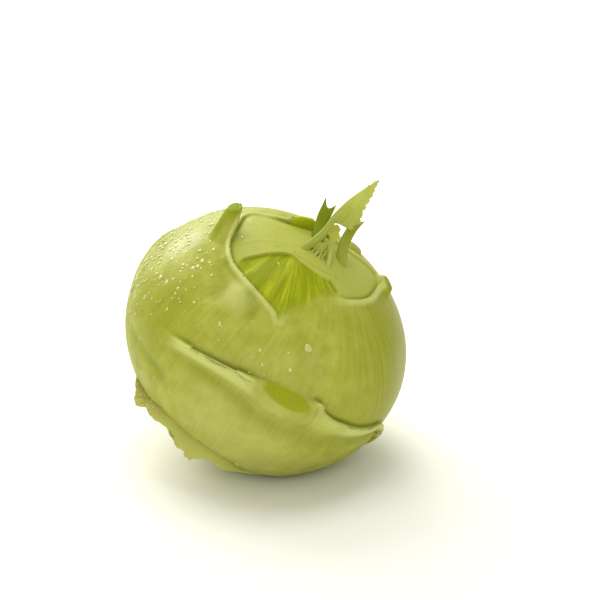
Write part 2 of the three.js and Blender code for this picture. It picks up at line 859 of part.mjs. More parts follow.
const kohlrabi = new THREE.Group();
kohlrabi.add(meshNamed("bulb", bulbWithSockets(), "skin"));

const crown = new THREE.Group();
crown.applyMatrix4(crownFrame);
const crownFinishes = {
  young_leaf: "leaf",
  stalk_back: "stalk",
  stalk_right: "stalk",
  heart_leaf: "heart",
  heart_buds: "heart",
};
for (const [name, piece] of Object.entries(crownPieces)) {
  crown.add(meshNamed(name, toGeometry(piece(0)), crownFinishes[name]));
}
kohlrabi.add(crown);

export default kohlrabi;
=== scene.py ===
"""Dresses a kohlrabi: its skin with the clasping leaf bases, the young leaves in its crown, the
water drops on it and a pale studio round it.

Shapes are worked out in millimetres in the model's own frame, with +Z up and the front towards -Y,
and are turned into metres when a mesh is finished.
"""

import logging
import math
from collections.abc import Callable
from dataclasses import dataclass, field
from enum import Enum

import bmesh
import bpy
import numpy as np
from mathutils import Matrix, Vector


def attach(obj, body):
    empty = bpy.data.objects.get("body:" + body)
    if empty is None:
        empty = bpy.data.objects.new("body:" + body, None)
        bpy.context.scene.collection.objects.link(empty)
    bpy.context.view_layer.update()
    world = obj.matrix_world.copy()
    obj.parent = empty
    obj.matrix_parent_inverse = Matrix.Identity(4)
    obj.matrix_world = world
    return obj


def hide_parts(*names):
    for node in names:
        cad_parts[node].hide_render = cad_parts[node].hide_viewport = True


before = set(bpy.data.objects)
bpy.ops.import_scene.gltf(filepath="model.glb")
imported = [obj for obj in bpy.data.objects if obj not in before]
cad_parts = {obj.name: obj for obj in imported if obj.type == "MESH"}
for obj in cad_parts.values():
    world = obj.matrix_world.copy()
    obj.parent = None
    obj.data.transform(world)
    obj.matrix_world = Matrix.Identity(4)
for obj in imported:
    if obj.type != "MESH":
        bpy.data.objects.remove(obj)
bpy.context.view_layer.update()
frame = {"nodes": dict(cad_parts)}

log = logging.getLogger("kohlrabi")

MM = 0.001
ROOT_BODY = "root"

Array = np.ndarray
Point = tuple[float, float, float]
Pair = tuple[float, float]
Colour = tuple[int, int, int]
Triple = tuple[Array, Array, Array]
Draft = bmesh.types.BMesh
Piece = bpy.types.Object
Material = bpy.types.Material
Tree = bpy.types.NodeTree
Node = bpy.types.Node
Socket = bpy.types.NodeSocket


def smooth(value: Array, low: float | Array, high: float | Array) -> Array:
    """Eases from 0 at low to 1 at high.

    Args:
        value: The numbers to ease.
        low: Where the rise starts.
        high: Where the rise ends.

    Returns:
        Numbers from 0 to 1.
    """
    share = np.clip((value - low) / (high - low), 0.0, 1.0)
    return share * share * (3.0 - 2.0 * share)


def mix(low: float | Array, high: float | Array, share: float | Array) -> float | Array:
    """Goes from low to high as share goes from 0 to 1."""
    return low + (high - low) * share


def bell(value: Array, middle: float | Array, width: float | Array) -> Array:
    """A bump that is 1 at its middle and fades away on both sides."""
    return np.exp(-(((value - middle) / width) ** 2))


def window(value: Array, rise: tuple, fall: tuple) -> Array:
    """Is 1 between a rise and a fall, each given by where it starts and where it ends."""
    return smooth(value, *rise) * (1 - smooth(value, *fall))


def normalised(vectors: Array) -> Array:
    """Scales each vector to length 1."""
    return vectors / np.maximum(np.linalg.norm(vectors, axis=-1, keepdims=True), 1e-12)


def tint(red: int, green: int, blue: int) -> tuple[float, float, float, float]:
    """Turns an 8-bit screen colour into the linear colour that a shader takes."""

    def linear(level: int) -> float:
        """Undoes the screen's curve for one channel."""
        share = level / 255.0
        return share / 12.92 if share <= 0.04045 else ((share + 0.055) / 1.055) ** 2.4

    return (linear(red), linear(green), linear(blue), 1.0)


def smooth_line(nodes: Array, closed: bool, steps: int) -> Array:
    """Draws a centripetal curve through points.

    Args:
        nodes: The points, one a row.
        closed: Whether the curve comes back to its first point.
        steps: How many steps are drawn between two points.

    Returns:
        Places along the curve, one a row, with both ends.
    """
    if closed:
        before = np.roll(nodes, 1, axis=0)
        after = np.roll(nodes, -1, axis=0)
        further = np.roll(nodes, -2, axis=0)
        starts = nodes
    else:
        first = 2.0 * nodes[0] - nodes[1]
        last = 2.0 * nodes[-1] - nodes[-2]
        padded = np.vstack([first, nodes, last])
        before, starts, after, further = padded[:-3], padded[1:-2], padded[2:-1], padded[3:]
    gaps = [
        np.maximum(np.linalg.norm(b - a, axis=1, keepdims=True), 1e-9) ** 0.5
        for a, b in ((before, starts), (starts, after), (after, further))
    ]
    leave = (starts - before) / gaps[0] - (after - before) / (gaps[0] + gaps[1])
    leave = (leave + (after - starts) / gaps[1]) * gaps[1]
    arrive = (after - starts) / gaps[1] - (further - starts) / (gaps[1] + gaps[2])
    arrive = (arrive + (further - after) / gaps[2]) * gaps[1]
    places = []
    for step in range(steps):
        t = step / steps
        places.append(
            starts * (2 * t**3 - 3 * t**2 + 1)
            + after * (3 * t**2 - 2 * t**3)
            + leave * (t**3 - 2 * t**2 + t)
            + arrive * (t**3 - t**2)
        )
    drawn = np.stack(places, axis=1).reshape(-1, nodes.shape[1])
    return np.vstack([drawn, nodes[:1] if closed else nodes[-1:]])


def curve_at(line: Array, share: Array) -> Array:
    """Reads places along a drawn line at shares of its steps."""
    place = np.clip(np.asarray(share, dtype=float), 0.0, 1.0) * (len(line) - 1)
    low = np.minimum(place.astype(int), len(line) - 2)
    part = (place - low)[..., None]
    return line[low] * (1.0 - part) + line[low + 1] * part


@dataclass(frozen=True)
class BulbFrame:
    """The plain bulb: a ball flattened along its axis, tilted as it lies.

    Longitude 0 faces the front and longitude 90 the right; latitude 90 is the crown.
    """

    equator: float = 47.0
    pole: float = 38.4
    tilt: float = 32.5
    heading: float = -28.5
    rest_depth: float = 1.6
    faces: Point = (0.02, -0.944, 0.33)

    @property
    def axis(self) -> Array:
        """The direction from the root to the crown."""
        tilt, heading = math.radians(self.tilt), math.radians(self.heading)
        lean = math.sin(tilt)
        return np.array([lean * math.cos(heading), lean * math.sin(heading), math.cos(tilt)])

    @property
    def front(self) -> Array:
        """The direction of longitude 0."""
        faces = np.array(self.faces)
        return normalised(faces - self.axis * faces.dot(self.axis))

    @property
    def side(self) -> Array:
        """The direction of longitude 90."""
        return np.cross(self.axis, self.front)

    @property
    def basis(self) -> Array:
        """The three directions, one a row: front, side and axis."""
        return np.stack([self.front, self.side, self.axis])

    @property
    def radii(self) -> Array:
        """The ball's radii along its three directions."""
        return np.array([self.equator, self.equator, self.pole])

    @property
    def centre(self) -> Array:
        """The middle of the bulb, with the flat spot's middle at the origin."""
        up = self.axis[2]
        standing = math.sqrt(self.equator**2 * (1 - up**2) + self.pole**2 * up**2)
        pull = (self.pole**2 - self.equator**2) * up / standing
        return np.array([self.axis[0] * pull, self.axis[1] * pull, standing - self.rest_depth])

    def unit_at(self, longitude: float | Array, latitude: float | Array) -> Array:
        """Gives the bulb's own unit vector of a place.

        Args:
            longitude: Degrees round the axis.
            latitude: Degrees from the equator towards the crown.

        Returns:
            The unit vector, or one a row.
        """
        around, up = np.radians(longitude), np.radians(latitude)
        flat = np.cos(up)
        return np.stack([flat * np.cos(around), flat * np.sin(around), np.sin(up)], axis=-1)

    def skin(self, units: Array) -> Array:
        """Places unit vectors on the plain skin."""
        return self.centre + (units * self.radii) @ self.basis

    def normals(self, units: Array) -> Array:
        """The plain skin's outward directions at unit vectors."""
        return normalised((units / self.radii) @ self.basis)

    def spot(self, longitude: float, latitude: float) -> Array:
        """A place on the plain skin."""
        return self.skin(self.unit_at(longitude, latitude))


class Reading(Enum):
    """What is read at the nearest point of a rim."""

    HEIGHT = 2
    WALL = 3
    ROLL = 4


@dataclass(frozen=True)
class Near:
    """The nearest point of a line, seen from many places."""

    signed: Array
    share: Array
    outward: Array


@dataclass
class SkinLine:
    """A line on the skin through places [longitude, latitude, ...], with the crown on its left."""

    bulb: BulbFrame
    places: list[tuple[float, ...]]
    closed: bool = False
    steps: int = 8
    drawn: Array = field(init=False)

    def __post_init__(self) -> None:
        """Draws the line."""
        table = np.array([place[:2] for place in self.places], dtype=float)
        nodes = self.bulb.skin(self.bulb.unit_at(table[:, 0], table[:, 1]))
        self.drawn = smooth_line(nodes, self.closed, self.steps)

    def near(self, points: Array, normals: Array, batch: int = 4000) -> Near:
        """Measures places against the line.

        Args:
            points: Places on the plain skin.
            normals: The skin's outward directions there.
            batch: How many places are measured at once.

        Returns:
            The distance, positive towards the root, the share of the line, and the direction in
            which the distance grows.
        """
        start, end = self.drawn[:-1], self.drawn[1:]
        along = end - start
        length2 = np.maximum((along**2).sum(1), 1e-12)
        parts = []
        for low in range(0, len(points), batch):
            p, n = points[low : low + batch], normals[low : low + batch]
            off = p[:, None, :] - start[None]
            t = np.clip((off * along).sum(2) / length2, 0.0, 1.0)
            away = off - t[..., None] * along
            pick = (away**2).sum(2).argmin(1)
            rows = np.arange(len(p))
            gap = away[rows, pick]
            distance = np.linalg.norm(gap, axis=1)
            turn = (np.cross(along[pick], gap) * n).sum(1)
            sign = np.where(turn > 0, -1.0, 1.0)
            outward = gap * (sign / np.maximum(distance, 1e-9))[:, None]
            share = (pick + t[rows, pick]) / len(start)
            parts.append((distance * sign, share, outward))
        signed, share, outward = (np.concatenate(list(part)) for part in zip(*parts))
        return Near(signed, share, outward)

    def read(self, what: Reading, share: Array) -> Array:
        """Reads a column of the line's places at shares of its length."""
        column = np.array([place[what.value] for place in self.places], dtype=float)
        if self.closed:
            column = np.append(column, column[0])
        return np.interp(share * (len(column) - 1), np.arange(len(column)), column)


class Kind(Enum):
    """What a leaf base is, where its skin has marks of its own."""

    CLASPING = "clasping"
    COLLAR = "collar"
    TORN = "torn"


@dataclass
class LeafBase:
    """A leaf base clasping the bulb.

    Its rim is [longitude, latitude, height, wall width, roll]: the wall is the side towards the
    crown, and the roll is the width of the rounded lip on the other side.
    """

    name: str
    rim: list[tuple[float, ...]]
    closed: bool = False
    shoulder: float = 10.0
    tear: float = 0.0
    lean: float = 0.35
    kind: Kind = Kind.CLASPING


COLLAR = LeafBase(
    name="collar round the cap",
    closed=True,
    shoulder=8.0,
    kind=Kind.COLLAR,
    rim=[
        (0, 45, 0.4, 0.8, 1.4),
        (2.5, 50.5, 0.1, 1.6, 2.5),
        (8, 55.5, 0.1, 2.4, 3.0),
        (18, 60.5, 0.15, 2.4, 3.0),
        (34, 65, 0.45, 1.8, 2.2),
        (51, 65.3, 0.8, 1.0, 1.8),
        (76, 64.7, 1.0, 0.9, 1.8),
        (100, 63.5, 0.9, 0.9, 1.8),
        (116, 60.5, 0.7, 0.9, 1.8),
        (128, 61, 0.6, 0.8, 1.5),
        (136, 66, 0.6, 0.8, 1.5),
        (146, 73, 0.7, 0.8, 1.5),
        (172, 77, 0.7, 0.8, 1.5),
        (202, 76.5, 1.6, 0.8, 1.5),
        (222, 75, 3.6, 0.8, 1.2),
        (238, 73, 3.4, 0.8, 1.2),
        (247, 69.5, 1.2, 0.8, 1.2),
        (252, 61, 0.4, 0.8, 1.5),
        (258, 55, 0.5, 0.8, 1.5),
        (268, 54.8, 1.0, 0.8, 1.4),
        (278, 54.8, 1.2, 0.8, 1.4),
        (288, 53.5, 1.3, 0.8, 1.4),
        (299, 51.6, 1.3, 0.8, 1.4),
        (314, 49.6, 1.2, 0.8, 1.4),
        (331, 49.6, 1.1, 0.8, 1.5),
        (344, 49.3, 0.9, 0.8, 1.5),
        (355, 47.5, 0.7, 0.8, 1.5),
    ],
)

FRONT_BASE = LeafBase(
    name="front leaf base with its wide cut",
    lean=0.3,
    rim=[
        (-56, 3, 0, 2.4, 3.0),
        (-42, 5.5, 0.15, 2.4, 3.0),
        (-33, 8.4, 0.6, 2.0, 2.5),
        (-24.5, 12, 1.4, 1.1, 2.3),
        (-16, 15, 2.2, 0.8, 2.6),
        (-5, 17.6, 2.9, 0.8, 3.4),
        (5, 18.5, 3.3, 1.7, 4.2),
        (9.5, 18, 3.5, 3.4, 4.6),
        (14, 16.3, 3.6, 5.0, 4.6),
        (19, 15.4, 3.6, 5.4, 4.6),
        (24, 15.5, 3.6, 5.0, 5.0),
        (28, 17.2, 3.5, 3.6, 5.6),
        (31.5, 20, 3.2, 1.2, 7.0),
        (34, 17.6, 3.0, 0.8, 6.8),
        (39, 15, 2.7, 0.8, 5.6),
        (46, 12.8, 2.3, 0.8, 4.6),
        (55, 10.2, 1.6, 0.8, 3.6),
        (65, 8.6, 1.3, 0.8, 2.6),
        (72, 7.5, 1.3, 0.8, 2.0),
        (76, 3, 1.6, 0.8, 1.4),
        (78.5, -3, 1.8, 0.8, 1.2),
        (79.5, -9, 1.2, 0.8, 1.2),
        (80, -15, 0, 0.8, 1.2),
    ],
)

TORN_FLAP = LeafBase(
    name="torn flap low on the left",
    kind=Kind.TORN,
    shoulder=7.0,
    tear=0.14,
    lean=-0.15,
    rim=[
        (-46, -34, 0, 0.8, 1.0),
        (-42, -35, 1.8, 0.8, 1.0),
        (-38, -35.5, 3.5, 0.8, 1.0),
        (-33, -35.5, 4.0, 0.8, 1.0),
        (-29, -34, 3.0, 0.8, 1.0),
        (-23, -31.5, 3.2, 0.8, 1.0),
        (-16, -31, 3.2, 0.8, 1.0),
        (-9, -32.8, 3.8, 0.8, 1.0),
        (-5, -33.5, 4.8, 0.8, 1.0),
        (-2, -33.8, 6.0, 0.8, 1.0),
        (2, -34, 4.2, 0.8, 1.0),
        (8, -35, 3.2, 0.8, 1.0),
        (16, -37.6, 2.4, 0.8, 1.0),
        (26, -40.5, 1.2, 0.8, 1.0),
        (38, -42, 0, 0.8, 1.0),
    ],
)

BACK_BASE = LeafBase(
    name="leaf base at the back",
    rim=[
        (108, 8, 0, 1.0, 2.0),
        (124, 18, 1.2, 0.8, 2.5),
        (142, 27, 1.8, 0.8, 3.5),
        (158, 30, 2.6, 3.2, 4.5),
        (170, 29, 2.6, 3.2, 4.5),
        (186, 22, 1.6, 0.8, 3.5),
        (206, 12, 1.0, 0.8, 2.5),
        (222, 4, 0, 1.0, 2.0),
    ],
)

LEFT_BASE = LeafBase(
    name="leaf base at the left and back",
    rim=[
        (202, -4, 0, 1.0, 2.0),
        (224, 5, 0.9, 0.8, 2.5),
        (240, 9, 1.3, 0.8, 3.0),
        (252, 8, 1.6, 3.2, 3.5),
        (262, 3, 1.4, 3.2, 3.5),
        (270, -5, 0.8, 0.8, 2.0),
        (277, -15, 0.4, 0.8, 1.5),
        (282, -25, 0, 1.0, 1.5),
    ],
)

LOW_BASE = LeafBase(
    name="old leaf base low on the right and back",
    shoulder=9.0,
    tear=0.1,
    rim=[
        (84, -24, 0, 1.0, 1.5),
        (98, -18, 1.3, 0.8, 1.8),
        (112, -15, 2.0, 1.6, 2.0),
        (126, -17, 1.8, 1.2, 2.0),
        (148, -25, 1.0, 0.8, 1.8),
        (172, -32, 0, 1.0, 1.5),
    ],
)


@dataclass(frozen=True)
class RimForm:
    """How the skin runs across a rim. Widths beside the lip are shares of its roll."""

    lip_share: float = 0.72
    lip_falls: Pair = (0.3, 1.35)
    least_shoulder: float = 1.8
    valley_share: float = 0.34
    valley_at: float = 1.6
    valley_half: float = 0.7
    crease_share: float = 0.18
    crease_width: float = 1.0
    crease_loss: float = 0.8
    crease_walls: Pair = (1.0, 2.0)
    hollow: float = 0.8
    hollow_walls: Pair = (2.5, 4.5)
    thin: float = 1.0
    fine_wall: float = 0.45
    low_wall: float = 1.5
    crisp_heights: Pair = (0.65, 1.0)
    lean_roll: float = 0.35

    def across(self, rim: "Rim", shoulder: float) -> Array:
        """Works out the height beside a rim.

        Args:
            rim: The rim at each place.
            shoulder: How far the swelling runs towards the root.

        Returns:
            The height of the skin: rolled lip, valley and shoulder on one side, crease on the other.
        """
        fall, end = self.lip_falls
        lip = self.lip_share * (1 - smooth(rim.signed, fall * rim.roll, end * rim.roll))
        valley = bell(rim.signed, self.valley_at * rim.roll, self.valley_half * rim.roll)
        far = np.maximum(shoulder, self.least_shoulder * rim.roll)
        slope = (1 - self.lip_share) * (1 - smooth(rim.signed, 0.0, far))
        below = rim.height * (lip + slope - self.valley_share * valley)
        power = 1 + self.hollow * smooth(rim.wall, *self.hollow_walls)
        climb = smooth(rim.signed, -rim.wall, 0.0) ** power
        crease = bell(rim.signed, -rim.wall, self.crease_width) * self.crease_share
        crease = crease * (1 - self.crease_loss * smooth(rim.wall, *self.crease_walls))
        above = mix(-rim.height * crease, rim.height, climb)
        return np.where(rim.signed > 0, below, above)

    def wall_of(self, stated: Array, height: Array) -> Array:
        """The wall's real width: thin walls are crisper the higher they stand."""
        crisp = mix(self.low_wall, self.fine_wall, smooth(height, *self.crisp_heights))
        return np.where(stated <= self.thin, stated * crisp, stated)


@dataclass(frozen=True)
class RimTones:
    """Where the marks along a rim lie: the painted highlight on the lip, the painted shade in the valley and
    at the wall's foot, the cut, the painted light through the collar's back flap, and the torn flap's edge.

    Walls, rolls and heights are the ranges over which a mark comes in or goes. A foot is measured
    from the wall's foot, and a top from the rim.
    """

    full_height: float = 1.2
    steep_walls: Pair = (1.0, 2.4)
    wall_top: float = 0.2
    foot_out: float = 0.25
    foot_width: float = 0.7
    # The painted shade in the valley below the lip.
    shade_at: float = 1.75
    shade_half: float = 0.6
    shade_rolls: Pair = (1.8, 3.0)
    wide_rolls: Pair = (3.0, 6.0)
    pale_rolls: Pair = (0.3, 1.2)
    wide_shift: float = 0.1
    wide_loss: float = 0.5
    cut_walls: Pair = (2.5, 3.4)
    cut_foot: Pair = (-0.2, 0.6)
    cut_top: Pair = (-0.7, 0.1)
    # The painted light through the collar's back flap.
    lit_flap_heights: Pair = (1.2, 3.0)
    lit_flap_foot: Pair = (-0.5, -0.1)
    lit_flap_top: Pair = (-0.05, 0.3)
    cap_end: Pair = (-1.6, -0.6)
    fan_end: float = 0.6
    torn_heights: Pair = (1.0, 2.4)
    torn_edge: Pair = (0.4, 2.5)
    withered: float = 0.45
    withered_end: Pair = (0.2, 0.45)


@dataclass(frozen=True)
class Rim:
    """A rim at the point of it that is nearest to each place.

    The distance is positive towards the root. The stated wall is the one in the rim's table.
    """

    signed: Array
    share: Array
    outward: Array
    height: Array
    stated: Array
    wall: Array
    roll: Array
    tones: RimTones

    @property
    def strength(self) -> Array:
        """How much of a rim there is, from 0 to 1."""
        return np.minimum(1.0, self.height / self.tones.full_height)

    @property
    def steep(self) -> Array:
        """Is 1 where the wall is thin and 0 where it is a wide cut."""
        return 1 - smooth(self.stated, *self.tones.steep_walls)

    @property
    def climb(self) -> Array:
        """Goes from 0 at the wall's foot to 1 near its top."""
        return smooth(self.signed, -self.wall, -self.tones.wall_top * self.wall)

    def face(self, foot: Pair, top: Pair) -> Array:
        """Is 1 on the wall's face, between its foot and its top, each given by where it fades."""
        start, end = foot
        return window(self.signed, (start - self.wall, end - self.wall), top)

    @property
    def foot(self) -> Array:
        """The narrow line at the foot of a thin wall, which carries painted shade there and the torn flap's
        brown.
        """
        line = bell(self.signed, -self.wall - self.tones.foot_out, self.tones.foot_width)
        return line * self.strength * self.steep


# Several masks carry painted light and shade: the highlight on the pale lips, the shade in valleys and
# creases, the light through the collar's back flap, and patches of painted highlight and shade.
MASKS = (
    *("lip", "valley", "cut", "young", "torn", "brown", "pale_tone_and_highlight"),
    *("shaded", "wet", "fan", "crease", "cap", "root", "stub"),
)


@dataclass
class Form:
    """The skin while it is being formed: the plain bulb, what is laid on it, and its masks."""

    plain: Array
    normals: Array
    spacing: Array
    masks: dict[str, Array] = field(init=False)
    raised: Array = field(init=False)
    sunk: Array = field(init=False)
    soft: Array = field(init=False)
    stood: Array = field(init=False)
    lean: Array = field(init=False)
    stretch: Array = field(init=False)

    def __post_init__(self) -> None:
        """Starts with nothing laid on the bulb."""
        count = len(self.plain)
        self.raised, self.sunk, self.soft, self.stood = np.zeros((4, count))
        self.lean, self.stretch = np.zeros((2, count, 3))
        self.masks = {name: np.zeros(count) for name in MASKS}

    @property
    def place(self) -> Array:
        """The finished places, with the flat spot pressed level."""
        bare = 1 - self.stood
        out = self.raised * bare + self.sunk + self.soft
        moved = self.plain + self.normals * out[:, None] + self.lean * bare[:, None] + self.stretch
        moved[:, 2] = np.maximum(moved[:, 2], 0.0)
        return moved

    def mark(self, name: str, values: Array) -> None:
        """Strengthens a mask where the new values are higher."""
        self.masks[name] = np.maximum(self.masks[name], values)

    def fade(self, name: str, share: Array) -> None:
        """Weakens a mask to a share of itself."""
        self.masks[name] = self.masks[name] * share

    def tighten(self, spacing: Array) -> None:
        """Asks for a finer mesh where this spacing is less than before."""
        self.spacing = np.minimum(self.spacing, spacing)

    def far_from(self, place: Array) -> Array:
        """How far every plain place is from one place."""
        return np.linalg.norm(self.plain - place, axis=1)


@dataclass(frozen=True)
class Stub:
    """The stub of a cut leaf stalk: its foot, height and direction."""

    at: Pair
    half: Pair
    height: float
    towards: Point
    cork: float = 0.0
    tall_heights: Pair = (3.0, 7.0)

    def axes(self, bulb: BulbFrame) -> Triple:
        """The directions at its foot: outwards, round the bulb and towards the crown."""
        normal = bulb.normals(bulb.unit_at(*self.at))
        east = normalised(np.cross(bulb.axis, normal))
        return normal, east, np.cross(normal, east)

    def far(self, bulb: BulbFrame, points: Array) -> Array:
        """How far places are from its foot, as a share of the foot's own size."""
        normal, east, north = self.axes(bulb)
        off = points - bulb.spot(*self.at)
        wide, thick = self.half
        return np.sqrt(
            (off @ east / wide) ** 2 + (off @ north / thick) ** 2 + (off @ normal / wide) ** 2
        )

    def front(self, bulb: BulbFrame, points: Array, share: Array) -> Array:
        """How far places lie in the middle of its side that faces the root, if it is tall."""
        north = self.axes(bulb)[2]
        low = -(normalised(points - bulb.spot(*self.at)) @ north)
        least, full = self.tall_heights
        tall = min(1.0, max(0.0, (self.height - least) / (full - least)))
        return tall * smooth(low, 0.3, 0.85) * (1 - smooth(share, 1.15, 1.5))


@dataclass(frozen=True)
class Swelling:
    """A soft swelling of the skin, or a hollow where the height is negative."""

    at: Pair
    height: float
    radius: float


@dataclass(frozen=True)
class Fan:
    """The older, streaked skin that dips between the cap's edge and the collar.

    Its edge is [longitude, latitude, share of the full depth].
    """

    depth: float = 0.65
    lip: float = 0.3
    ledge: float = 3.0
    step: float = 0.5
    level: float = 3.0
    reach: float = 15.0
    # The painted shade line along the seam under the cap's edge.
    seam_at: float = 0.4
    seam_width: float = 0.5
    seam_share: float = 0.8
    open_end: Pair = (0.85, 0.95)
    streaks_end: Pair = (16.0, 26.0)
    apex: Pair = (-84.0, 79.5)
    edge: tuple[tuple[float, ...], ...] = (
        (-42.5, 51, 0.0),
        (-44.5, 55, 0.9),
        (-44, 60, 1.0),
        (-43, 65, 1.0),
        (-40.5, 70, 1.0),
        (-34, 73.3, 0.8),
        (-20, 74.3, 0.4),
        (0, 74.6, 0.2),
        (18, 73.8, 0.2),
        (29, 73, 0.35),
        (38, 68.5, 0.3),
        (44, 64, 0.0),
    )


@dataclass(frozen=True)
class Groove:
    """A fine line or soft valley in the skin; its green is how much painted shade lies along it."""

    line: tuple[Pair, ...]
    depth: float
    width: float
    green: float = 0.0


@dataclass(frozen=True)
class Blemish:
    """A brown or bruised spot of the skin."""

    at: Pair
    radius: float
    depth: float


@dataclass(frozen=True)
class Patch:
    """A part of the skin with a tone or gloss of its own, as its mask says: paler skin with a painted
    highlight, painted shade, or wet skin.
    """

    mask: str
    at: Pair
    near: float
    far: float
    strength: float = 1.0


@dataclass
class Skin:
    """The finished form of the bulb's skin, worked out at any place of it."""

    bulb: BulbFrame = field(default_factory=BulbFrame)
    fan: Fan = field(default_factory=Fan)
    bases: tuple[LeafBase, ...] = (
        COLLAR,
        FRONT_BASE,
        TORN_FLAP,
        BACK_BASE,
        LEFT_BASE,
        LOW_BASE,
    )
    stubs: tuple[Stub, ...] = (
        Stub((-71, 49), (3.6, 3.0), 9.8, (0.42, 0.02, 0.9)),
        Stub((117, 58.5), (3.7, 2.4), 2.6, (0.8, -0.15, 0.6)),
        Stub((155, 67), (2.6, 2.2), 1.6, (0.55, 0.3, 0.78), 0.7),
    )
    swellings: tuple[Swelling, ...] = (
        Swelling((-24, 42), 1.3, 7),
        Swelling((-41, 30), 0.7, 9),
        Swelling((-21, 63), 0.7, 7),
        Swelling((-64, 43), 0.8, 5),
        Swelling((-35, 41), -1.3, 5),
        Swelling((-12, 41), -1.1, 4),
        Swelling((64, 50), -0.5, 7),
        Swelling((92, 25), -0.6, 9),
        Swelling((84, 0), -1.0, 12),
        Swelling((-75, 25), -1.0, 12),
        Swelling((-95, 35), -0.8, 12),
        Swelling((40, -38), 1.0, 12),
        Swelling((0, 88), 0.6, 8),
        Swelling((75, -62), 0.9, 14),
    )
    blemishes: tuple[Blemish, ...] = (
        Blemish((-69, -3), 1.6, 1.0),
        Blemish((-73, 8), 1.2, 0.8),
        Blemish((78, 0), 2.4, 1.0),
        Blemish((79.5, -7), 2.2, 1.0),
        Blemish((-50, 70), 0.5, 0.6),
        Blemish((-37, -32.5), 1.0, 0.6),
        Blemish((36, 21), 0.5, 0.6),
        Blemish((41, 76), 0.6, 0.5),
        Blemish((165, 33), 2.6, 0.6),
        Blemish((273, 15), 2.4, 0.7),
    )
    grooves: tuple[Groove, ...] = (
        Groove(((-53, 76), (-30, 75.7), (-8, 77), (21, 77), (40, 76)), 0.22, 0.4, 0.3),
        Groove(((28, 74), (33, 72), (39, 68)), 0.8, 0.5, 1.0),
        Groove(((-6, 19.5), (3, 20.6), (10, 22.2), (17, 23.6)), 0.22, 0.3, 0.5),
        Groove(((-50, 49), (-44.5, 45.5), (-34, 40.7), (-31.7, 37.4), (-29, 33)), 1.1, 2.2, 0.55),
        Groove(((-24, 49), (-19, 46.5), (-13, 42.7), (-11, 37)), 1.0, 1.8, 0.55),
        Groove(((-60, -12), (-46, -9.5), (-31, -8.5), (-22, -9)), 0.6, 1.8, 0.7),
        Groove(((-59, 53), (-60.5, 58), (-61.6, 63), (-59.4, 70), (-49.5, 74.4)), -0.1, 0.6),
        Groove(((-81, 56), (-86.5, 60.3), (-85, 66.2), (-77, 71)), -0.1, 0.6),
    )
    patches: tuple[Patch, ...] = (
        # Paler skin low at the front and in a small scuffed place; on the swelling at (-25, 43.5) the pale
        # tone is a painted highlight.
        Patch("pale_tone_and_highlight", (10, -8), 8, 36),
        Patch("pale_tone_and_highlight", (23, 35), 1, 8, 0.6),
        Patch("pale_tone_and_highlight", (-25, 43.5), 2, 8, 1.6),
        # Painted shade: the right side and a place on the left are darkened where the light falls off.
        Patch("shaded", (92, 36), 12, 38),
        Patch("shaded", (-44, 15), 3, 18, 0.7),
        Patch("wet", (-74, 31), 1.5, 11),
    )
    rim_form: RimForm = field(default_factory=RimForm)
    rim_tones: RimTones = field(default_factory=RimTones)
    tooth_turns: Pair = (37.0, 71.0)
    small_teeth: float = 0.4
    root_radius: float = 5.5
    root_height: float = 3.2
    root_fade: float = 2.0
    root_tone: Pair = (-1.0, 3.0)
    groove_ends: float = 0.2
    fine_groove: float = 1.0
    blemish_edge: Pair = (0.5, 1.4)
    stub_side: Pair = (0.72, 1.5)
    stub_tone: Pair = (0.75, 1.1)
    near_stub: Pair = (1.3, 2.4)
    stub_spacing: float = 0.45
    fine_spacing: float = 0.32
    open_spacing: float = 1.5
    fine_width: float = 0.7
    spreading: float = 0.25
    faint: float = 0.15
    lines: list[SkinLine] = field(init=False)
    fan_line: SkinLine = field(init=False)
    groove_lines: list[SkinLine] = field(init=False)

    def __post_init__(self) -> None:
        """Draws the rims."""
        self.lines = [SkinLine(self.bulb, base.rim, base.closed) for base in self.bases]
        self.fan_line = SkinLine(self.bulb, list(self.fan.edge))
        self.groove_lines = [SkinLine(self.bulb, list(groove.line)) for groove in self.grooves]

    def shape(self, units: Array) -> Form:
        """Works out the skin at the bulb's own unit vectors, one a row."""
        spacing = np.full(len(units), self.open_spacing)
        form = Form(self.bulb.skin(units), self.bulb.normals(units), spacing)
        self.lay_fan(form)
        for base, line in zip(self.bases, self.lines):
            self.lay_base(form, base, line)
        self.lay_swellings(form)
        self.lay_grooves(form)
        self.lay_root(form)
        self.lay_stubs(form)
        self.lay_tones(form)
        return form

    def lay_fan(self, form: Form) -> None:
        """Lays the cap's edge, the dip below it and the streaked fan."""
        fan, near = self.fan, self.fan_line.near(form.plain, form.normals)
        strength = self.fan_line.read(Reading.HEIGHT, near.share)
        dip = window(near.signed, (0.0, fan.step), (fan.level, fan.reach))
        form.sunk = np.minimum(form.sunk, -fan.depth * strength * dip)
        ledge = np.where(near.signed <= 0, np.exp(np.minimum(near.signed, 0) / fan.ledge), 0.0)
        form.raised = np.maximum(form.raised, fan.lip * strength * ledge)
        shows = 1 - smooth(near.share, *fan.open_end)
        form.mark("fan", shows * window(near.signed, (-0.1, fan.step), fan.streaks_end))
        # Painted shade along the seam under the cap's edge.
        seam = bell(near.signed, fan.seam_at, fan.seam_width)
        form.mark("crease", strength * seam * fan.seam_share)
        form.mark("cap", 1 - smooth(near.signed, -fan.step, 0.1) * shows)
        form.tighten(self.spacing_at(np.abs(near.signed), strength))

